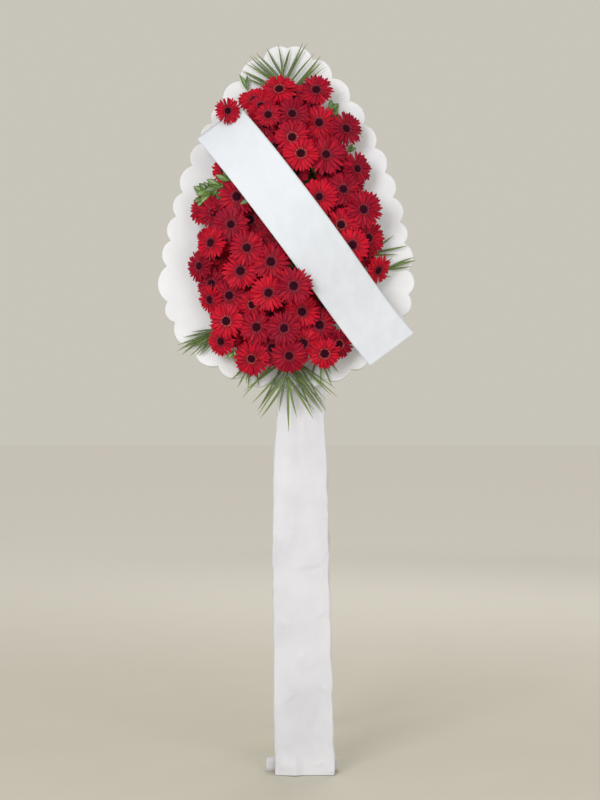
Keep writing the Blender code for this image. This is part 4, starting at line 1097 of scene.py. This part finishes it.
# Share of a leaf's length and how wide it is there
LEAFLET_OUTLINE = (
    (0, 0.3), (0.08, 0.62), (0.2, 0.9), (0.36, 1.0), (0.54, 0.92), (0.72, 0.7), (0.86, 0.42),
    (0.95, 0.2), (1, 0.04),
)
LEAF_OUTLINE = (
    (0, 0.06), (0.07, 0.16), (0.16, 0.5), (0.3, 0.86), (0.46, 1.0), (0.62, 0.94), (0.78, 0.66),
    (0.9, 0.34), (0.97, 0.12), (1, 0.03),
)
LEAFLET_THICK = 0.5 * MM
LEAF_THICK = 0.6 * MM
DOUBLED_LEAFLETS = 0.15


def blade(heap, finish, outline, root, tip, width, thick, droop, fold, tone, curl=0.0):
    """A leaf blade from root to tip, folded along its middle by fold, bowed sideways by curl."""
    along = tip - root
    side = Vector((-along.y, along.x, 0)).normalized()
    rings, values = [], []
    for share, wide in outline:
        middle = root + along * share + Vector((0, 0, droop * 4 * share * (1 - share)))
        middle += side * curl * 4 * share * (1 - share)
        ring, row = [], []
        for across, under in ACROSS:
            lift = (abs(across) - 0.5) * fold * wide - (thick if under else 0)
            ring.append(middle + side * (across * wide * width / 2) + Vector((0, 0, lift + thick / 2)))
            row.append((share, across, tone))
        rings.append(ring)
        values.append(row)
    heap.rings(rings, finish, values)


def make_foliage():
    draw = random.Random(21)
    rows = [(name, *frond, RIB_RADIUS, "palm", "palm_fronds") for name, frond in FRONDS.items()]
    rows += [(name, *sprig, TWIG_RADIUS, "leaf", "leaves") for name, sprig in SPRIGS.items()]
    for name, root, tip, blades, radius, finish, slot in rows:
        blades += MORE_LEAVES.get(name, ())
        breadth = LEAF_BREADTH.get(name)
        start = Vector((root[0] * MM, root[1] * MM, RIB_ROOT_HEIGHT))
        end = Vector((tip[0] * MM, tip[1] * MM, RIB_TIP_HEIGHT))
        along = (end - start).normalized()
        heap = Heap(finish, "stalk")
        steps = [start.lerp(end, k / 6) for k in range(7)]
        heap.tube(steps, [radius * (1 - 0.55 * k / 6) for k in range(7)], "stalk")
        for down, turn, length, *width in blades:
            base = end - along * (down * MM + BLADE_ROOT)
            way = turned(along.xy.to_3d().normalized(), turn)
            point = base + way * length * MM
            tone = draw.uniform(0, 1)
            if width:
                wide = width[0] * breadth * MM
                blade(heap, finish, LEAF_OUTLINE, base, point, wide, LEAF_THICK, 2 * MM, 2.2 * MM, tone,
                      draw.uniform(-2, 2) * MM)
                aside = turned(way, math.copysign(24, turn))
                blade(heap, finish, LEAF_OUTLINE, base + aside * 3 * MM, base + aside * length * 0.86 * MM,
                      wide * 0.8, LEAF_THICK, 5 * MM, 2.0 * MM, 1 - tone, draw.uniform(-2, 2) * MM)
                continue
            wide = LEAFLET_WIDTH * draw.uniform(0.9, 1.15)
            blade(heap, finish, LEAFLET_OUTLINE, base, point, wide, LEAFLET_THICK, LEAFLET_DROOP, 2.2 * MM,
                  tone, draw.uniform(-3, 3) * MM)
            if draw.random() < 1 - DOUBLED_LEAFLETS:
                continue
            aside = turned(way, draw.uniform(5, 9) * math.copysign(1, turn))
            point = base + aside * length * draw.uniform(0.8, 0.95) * MM
            blade(heap, finish, LEAFLET_OUTLINE, base, point, LEAFLET_WIDTH * 0.75, LEAFLET_THICK,
                  LEAFLET_DROOP * 1.6, 1.8 * MM, 1 - tone, draw.uniform(-3, 3) * MM)
        piece = heap.piece(name.replace("frond", "palm").replace("sprig", "twig"))
        stands_for(piece, "stand", slot, name)


def make_leaves_between(blooms):
    """Leaves that stand on thin stalks in the gaps between the blooms."""
    draw = random.Random(31)
    heap = Heap("leaf", "stalk")
    for x, y, turn, length, width in LEAVES_OVER + LEAVES_BETWEEN:
        in_pad = pad_share(x * MM, y * MM) < 0.97
        foot = Vector((x * MM, y * MM, PAD_THICK - 4 * MM if in_pad else 3 * MM))
        way = turned(Vector((length * MM, 0, 0)), turn)
        if (x, y, turn, length, width) in LEAVES_OVER:
            spots = [foot + way * share for share in (0, 0.25, 0.5, 0.75, 1)]
            rises = [(bloom.height, bloom.rise_at(spot.x, spot.y)) for bloom in blooms for spot in spots]
            height = max(height + rise for height, rise in rises if rise is not None) + 8 * MM
        else:
            height = clear_height(foot.x, foot.y, 6 * MM, blooms)[0] - 2 * MM
        top = Vector((foot.x, foot.y, height))
        heap.tube([foot, top], [1.1 * MM, 0.9 * MM], "stalk", 6)
        for side in (-1, 1):
            aside = turned(way, side * draw.uniform(14, 26))
            blade(heap, "leaf", LEAF_OUTLINE, top - aside * 0.1, top + aside, width * MM, LEAF_THICK,
                  3 * MM, 2 * MM, draw.uniform(0, 1), draw.uniform(-2, 2) * MM)
    stands_for(heap.piece("leaves_between"), "stand", "leaves")


# Board


def egg_point(turn):
    """A point on the egg that the lobes' notches lie on, turning clockwise from the top."""
    across, up = math.sin(turn), math.cos(turn)
    if up > 0:
        share = 2 / EGG_TOP_POWER
        x = math.copysign(abs(across) ** share, across)
        return Vector((x * EGG_HALF_WIDTH, EGG_CENTRE + up**share * EGG_ABOVE))
    return Vector((across * EGG_HALF_WIDTH, EGG_CENTRE + up * EGG_BELOW))


def lobe_notches():
    """The notches, spaced round the egg by the hand-cut lobes' widths."""
    ring = [egg_point(FULL_TURN * k / EGG_STEPS) for k in range(EGG_STEPS + 1)]
    walked = [0.0]
    for start, end in zip(ring, ring[1:]):
        walked.append(walked[-1] + (end - start).length)
    total = sum(LOBE_WIDTHS)
    notches = []
    passed = 0
    for width in LOBE_WIDTHS:
        target = walked[-1] * passed / total
        k = next(k for k in range(EGG_STEPS) if walked[k + 1] >= target)
        share = (target - walked[k]) / (walked[k + 1] - walked[k])
        notches.append(ring[k].lerp(ring[k + 1], share))
        passed += width
    return notches


def lobe_arc(start, end):
    """A round lobe between two notches, without its last point."""
    chord = end - start
    rise = LOBE_RISE * chord.length
    radius = (chord.length**2 / 4 + rise**2) / (2 * rise)
    outward = Vector((-chord.y, chord.x)).normalized()
    centre = (start + end) / 2 + outward * (rise - radius)
    half = math.asin(min(1, chord.length / 2 / radius))
    for step in range(LOBE_STEPS):
        angle = half * (2 * step / LOBE_STEPS - 1)
        yield centre + radius * (outward * math.cos(angle) + chord.normalized() * math.sin(angle))


def make_board():
    """The board with its cut edge slightly rounded, and recesses for the screws' washers."""
    notches = lobe_notches()
    outline = []
    for start, end in zip(notches, notches[1:] + notches[:1]):
        outline.extend(lobe_arc(start, end))
    soft = BOARD_EDGE
    middle = Vector((0, EGG_CENTRE + 150 * MM))
    # Depth from the front, and how far in from the outline
    edge = [(0, 2.0 * soft), (0.3 * soft, 0.6 * soft), (soft, 0.1 * soft), (3 * soft, 0)]
    section = [(0, 60 * MM), (0, 12 * MM), *edge, (BOARD_THICK / 2, 0.6 * MM)]
    section += [(BOARD_THICK - depth, inset) for depth, inset in reversed(edge)] + [(BOARD_THICK, 12 * MM)]
    bm = bmesh.new()
    rings = []
    for depth, inset in section:
        ring = []
        for point in outline:
            inward = (middle - point).normalized()
            rough = noise.noise(Vector((*point, depth)) * 60) * 0.5 * MM if inset < soft else 0
            ring.append(bm.verts.new((*(point + inward * (inset + max(rough, -0.4 * MM))), -depth)))
        rings.append(ring)
    for near, far in zip(rings, rings[1:]):
        for k, corner in enumerate(near):
            after = (k + 1) % len(near)
            bm.faces.new((corner, near[after], far[after], far[k]))
    for face in bm.faces:
        face.smooth = True
    bm.faces.new(rings[0])
    bm.faces.new(reversed(rings[-1]))
    bmesh.ops.recalc_face_normals(bm, faces=bm.faces)
    bmesh.ops.transform(bm, verts=bm.verts, matrix=WREATH)
    mesh = bpy.data.meshes.new("scalloped_board")
    bm.to_mesh(mesh)
    bm.free()
    mesh.materials.append(FINISHES["board"])
    board = put_in_scene("scalloped_board", mesh)

    bm = bmesh.new()
    for height in SCREW_HEIGHTS:
        for ends in (LEFT_POST, RIGHT_POST):
            x = ends[0] + (ends[1] - ends[0]) * height / POST_HEIGHT
            for radius, deep in (WASHER_ROOM, SCREW_ROOM):
                place = STAND @ Matrix.Translation((x, WREATH_PLACE.y - 2 * MM + deep / 2, height))
                bmesh.ops.create_cone(
                    bm, cap_ends=True, segments=20, radius1=radius, radius2=radius, depth=deep,
                    matrix=place @ Matrix.Rotation(math.pi / 2, 4, "X"),
                )
    mesh = bpy.data.meshes.new("screw_room")
    bm.to_mesh(mesh)
    bm.free()
    room = put_in_scene("screw_room", mesh)
    modifier = board.modifiers.new("Screws", "BOOLEAN")
    modifier.object = room
    modifier.operation = "DIFFERENCE"
    modifier.use_self = True
    keep_modified(board)
    bpy.data.objects.remove(room)
    stands_for(board, "stand", "board_foam", "foam_board")


# Cloth


def cloth_piece(name, rows, finish, thick, place, closed, offset=0):
    """A sheet from rows of points, thickened to both sides, or inwards with an offset of -1."""
    heap = Heap(finish)
    around = len(rows[0])
    for k, row in enumerate(rows):
        for j, point in enumerate(row):
            heap.points.append(Vector(point))
            heap.values.append((k / (len(rows) - 1), 2 * j / (around - 1) - 1, 0.5))
    span = around if closed else around - 1
    for k in range(len(rows) - 1):
        for j in range(span):
            a, b = k * around + j, k * around + (j + 1) % around
            heap.faces.append((a, b, b + around, a + around))
            heap.slots.append(0)
    piece = heap.piece(name, place)
    shell = piece.modifiers.new("Cloth", "SOLIDIFY")
    shell.thickness = thick
    shell.offset = offset
    keep_modified(piece)
    return piece


def make_band():
    """The band over the flowers, with slack between the blooms that hold it up."""
    start, end = Vector(BAND_START), Vector(BAND_END)
    side = Vector((-(end - start).y, (end - start).x)).normalized() * BAND_WIDTH / 2
    rows = []
    for share in (k / 96 for k in range(97)):
        middle = start.lerp(end, share)
        height = through(BAND_ARCH, share * 100) * MM + 1.2 * MM
        height += BAND_FLARE * max(0, (share - BAND_BEND) / (1 - BAND_BEND))
        row = []
        for j in range(25):
            across = 1 - 2 * j / 24
            point = middle + side * across
            soft = noise.noise(Vector((point.x * 9, point.y * 9, 0.3))) * 1.6 * MM
            soft += noise.noise(Vector((point.x * 30, point.y * 22, 3.1))) * 0.5 * MM
            curl = 1.2 * MM * abs(across) ** 4
            row.append((*point, height + max(soft, -0.8 * MM) + curl))
        rows.append(row)
    band = cloth_piece("white_band", rows, "band", 0.6 * MM, WREATH, False)
    stands_for(band, "stand", "band_cloth", "mourning_band")


def cover_row(height):
    """The cloth's left and right edge, front and back and its height there, at a height."""
    return [through([(row[0], row[k]) for row in COVER_RINGS], height) for k in range(1, 6)]


def slack_at(spot, height, face):
    """How far the leg's cloth stands out from its frame: broad slack, then its creases."""
    def wave(x, y, z):
        return noise.noise(Vector((x, y, z)))

    push = 0.8 + 1.5 * wave(spot.x * 0.012, spot.y * 0.02, height * 0.006)
    push += 0.8 * wave(spot.x * 0.04, 7.0, height * 0.014)
    if abs(face.x) > 0.5:
        push += SIDE_SLACK if face.x > 0 or height > SIDE_TIGHT_BELOW else SIDE_TIGHT
        push += 4.6 * wave(face.x * 3, 1.7, height * 0.021)
        push += 1.0 * wave(face.x * 5, 4.1, height * 0.05)
    neck = math.exp(-(((height - NECK_HEIGHT) / NECK_REACH) ** 2))
    push += neck * 2.0 * wave(spot.x * 0.075 + height * 0.02, 3.0, height * 0.03)
    if face.y < 0.5:
        for x1, h1, x2, h2, wide, deep, step in CREASES:
            run = Vector((x2 - x1, h2 - h1))
            share = min(max(Vector((spot.x - x1, height - h1)).dot(run) / run.length_squared, 0), 1)
            apart = Vector((spot.x, height)) - Vector((x1, h1)).lerp(Vector((x2, h2)), share)
            fade = 1 - 0.5 * abs(2 * share - 1)
            if apart.y * step < 0:
                wide *= CREASE_STEP
            push += CREASE_DEPTH * deep * fade * math.exp(-((apart.length / wide) ** 2))
        # The lower left corner, turned up along a line that falls to the right
        below = min(max((88 - 0.5 * (spot.x + 66) - height) / 50, 0), 1)
        push += MOST_SLACK * below * max(0, min((spot.x + 64) / 44, (2 - spot.x) / 22))
    return min(max(push, 0.0), MOST_SLACK)


def cover_outline(left, right, front, back):
    """Points round the leg, with rounded corners, anticlockwise from its front right one."""
    middle = Vector(((left + right) / 2, (front + back) / 2))
    half = Vector(((right - left) / 2, (back - front) / 2))
    outline = []
    for sign_x, sign_y, turn in ((1, -1, 270), (1, 1, 0), (-1, 1, 90), (-1, -1, 180)):
        for step in range(CORNER_STEPS):
            angle = math.radians(turn + 90 * step / (CORNER_STEPS - 1))
            outline.append(Vector((
                middle.x + sign_x * (half.x - COVER_CORNER) + COVER_CORNER * math.cos(angle),
                middle.y + sign_y * (half.y - COVER_CORNER) + COVER_CORNER * math.sin(angle),
            )))
    spots = []
    for k, spot in enumerate(outline):
        side, place = divmod(k, CORNER_STEPS)
        count = (SIDE_STEPS, FACE_STEPS)[side % 2] if place == CORNER_STEPS - 1 else 1
        spots += [spot.lerp(outline[(k + 1) % len(outline)], step / count) for step in range(count)]
    return middle, half, spots


def make_leg_cover():
    """The cloth tube round the leg: drawn in at the neck, with slack folds and an open hem."""
    heights = [-1.2, 0.6, 2.6] + [5 + 3 * k for k in range(8)]
    heights += [29 + (1085 - 29) * (k / 250) for k in range(1, 251)]
    rows = []
    for front_height in heights:
        back_height, left, right, front, back = cover_row(front_height)
        middle, half, spots = cover_outline(left, right, front, back)
        row = []
        for spot in spots:
            share = (spot.y - front) / (back - front)
            height = front_height + (back_height - front_height) * share
            out = spot - middle
            out = Vector((out.x / half.x, out.y / half.y))
            face = Vector((out.x if abs(out.x) > 0.92 else 0, out.y if abs(out.y) > 0.6 else 0))
            face = face.normalized() if face.length else Vector((0, -1))
            push = slack_at(spot, height, face)
            row.append(Vector((spot.x + face.x * push, spot.y + face.y * push, height)) * MM)
        rows.append(row)
    cover = cloth_piece("leg_cloth", rows, "cloth", NONWOVEN_THICK, STAND, True, -1)
    stands_for(cover, "stand", "cloth", "leg_cover")


def make_foot_cloths():
    """Cloth over the batten's two ends: front, top and back in one, and closed over the end."""
    near = POST_DEPTH / 2 + GAP
    far = near + BATTEN_DEPTH
    room = GAP + CLOTH
    for name, node, tip, inner in (
        ("foot_cloth_end_left", "foot_cloth_left", BATTEN_ENDS[0], -76 * MM),
        ("foot_cloth_end_right", "foot_cloth_right", BATTEN_ENDS[1] + 2.5 * MM, 84.5 * MM),
    ):
        out = math.copysign(1, tip)
        top = BATTEN_HEIGHT + room
        middle = Vector(((near + far) / 2, top / 2))
        up = (15 * MM, 26 * MM, top - 2 * MM)
        profile = [Vector((near - 0.2 * MM, z)) for z in (0, *up)]
        profile += [Vector((y, top)) for y in (near + 1.5 * MM, middle.x, far + room - 1.6 * MM)]
        profile += [Vector((far + room, z)) for z in (*reversed(up), 0)]
        rows = []
        for share, tuck in FOOT_CLOTH_ROWS:
            x = inner + (tip + out * room - inner) * share
            row = []
            for spot in profile:
                pull = (middle - spot).normalized() * tuck * MM
                soft = noise.noise(Vector((x, spot.x, spot.y)) * 90) * 1.7 * MM if share > 0.5 else 0
                lowest = (spot.x + pull.x) * math.tan(LEAN) + 1.2 * MM
                row.append(Vector((x + soft, spot.x + pull.x, max(spot.y + pull.y, lowest))))
            rows.append(row)
        end = rows[-1]
        for share in (0.35, 0.7, 0.93):
            facing = zip(end, reversed(end))
            rows.append([Vector((spot.x, *spot.yz.lerp(other.yz, share / 2))) for spot, other in facing])
        if out < 0:
            rows = [list(reversed(row)) for row in rows]
        cap = cloth_piece(name, rows, "cloth", NONWOVEN_THICK, STAND, False, -1)
        stands_for(cap, "stand", "cloth", node)
        width = abs(tip + out * room - inner)
        width + 0.014


# Stand


def dress_nodes():
    """The wooden, foam and steel nodes keep their shape and get their finish and soft edges."""
    for name, node in frame["nodes"].items():
        if node.hide_render:
            continue
        if name.startswith(("post", "rung", "foot_batten", "prop_leg", "hinge_board")):
            finish, edge = "pine", 1.2 * MM
        elif name == "floral_foam":
            finish, edge = "foam", 0
        else:
            finish, edge = "steel", 0
        for slot in node.material_slots:
            slot.material = FINISHES[finish]
        if edge:
            bevel = node.modifiers.new("Edges", "BEVEL")
            bevel.width = edge
            bevel.segments = 2
            bevel.limit_method = "ANGLE"
            bevel.angle_limit = math.radians(40)
            bevel.harden_normals = False
        if finish == "foam":
            node.data.polygons.foreach_set("use_smooth", [True] * len(node.data.polygons))


# Room


def make_room():
    floor_finish = Finish("pale_floor", linear(224, 219, 206), 0.8)
    speckle = floor_finish.noise(3.0, 3.0)
    away = floor_finish.node(
        "ShaderNodeVectorMath", "Value", {"operation": "LENGTH"}, {0: floor_finish.place()}
    )
    pale = floor_finish.mix(speckle, linear(198, 194, 181), linear(204, 200, 188))
    # Painted light: the floor is painted paler with distance from the wreath, so that far off it meets the
    # backdrop's tone where the lamps' light does not reach.
    floor_finish.set({"Base Color": floor_finish.mix(away.step(0.3, 7.0), pale, linear(252, 250, 246))})
    bpy.ops.mesh.primitive_plane_add(size=60)
    floor = bpy.context.active_object
    floor.name = "floor"
    floor.data.materials.append(floor_finish.material)

    for name, place, target, size, power, colour in (
        ("key_light", (-1.9, -4.1, 2.5), (0, 0, 1.2), 1.9, 108, (0.97, 0.985, 1.0)),
        ("fill_light", (2.2, -4.2, 1.7), (0, 0, 1.1), 2.4, 50, (0.92, 0.97, 1.0)),
        ("back_light", (1.0, 3.4, 3.4), (0, 0, 1.2), 3.0, 45, (1.0, 1.0, 1.0)),
    ):
        light = bpy.data.lights.new(name, "AREA")
        light.size = size
        light.energy = power
        light.color = colour
        lamp = put_in_scene(name, light)
        lamp.location = place
        lamp.rotation_euler = (Vector(target) - Vector(place)).to_track_quat("-Z", "Y").to_euler()

    world = bpy.data.worlds.new("soft_room")
    world.use_nodes = True
    background = world.node_tree.nodes["Background"]
    background.inputs["Color"].default_value = linear(214, 210, 199)
    background.inputs["Strength"].default_value = 0.86
    bpy.context.scene.world = world
    bpy.context.scene.view_settings.view_transform = "Standard"

    camera = bpy.data.cameras.new("camera")
    camera.lens = 68.7
    camera.sensor_width = 36
    viewer = put_in_scene("camera", camera)
    viewer.location = (-0.008, -4.2, 1.02)
    viewer.rotation_euler = (math.pi / 2, 0, 0)
    bpy.context.scene.camera = viewer


make_room()
blooms = make_gerberas()
make_leaves_between(blooms)
make_foliage()
make_board()
make_band()
make_leg_cover()
make_foot_cloths()
dress_nodes()
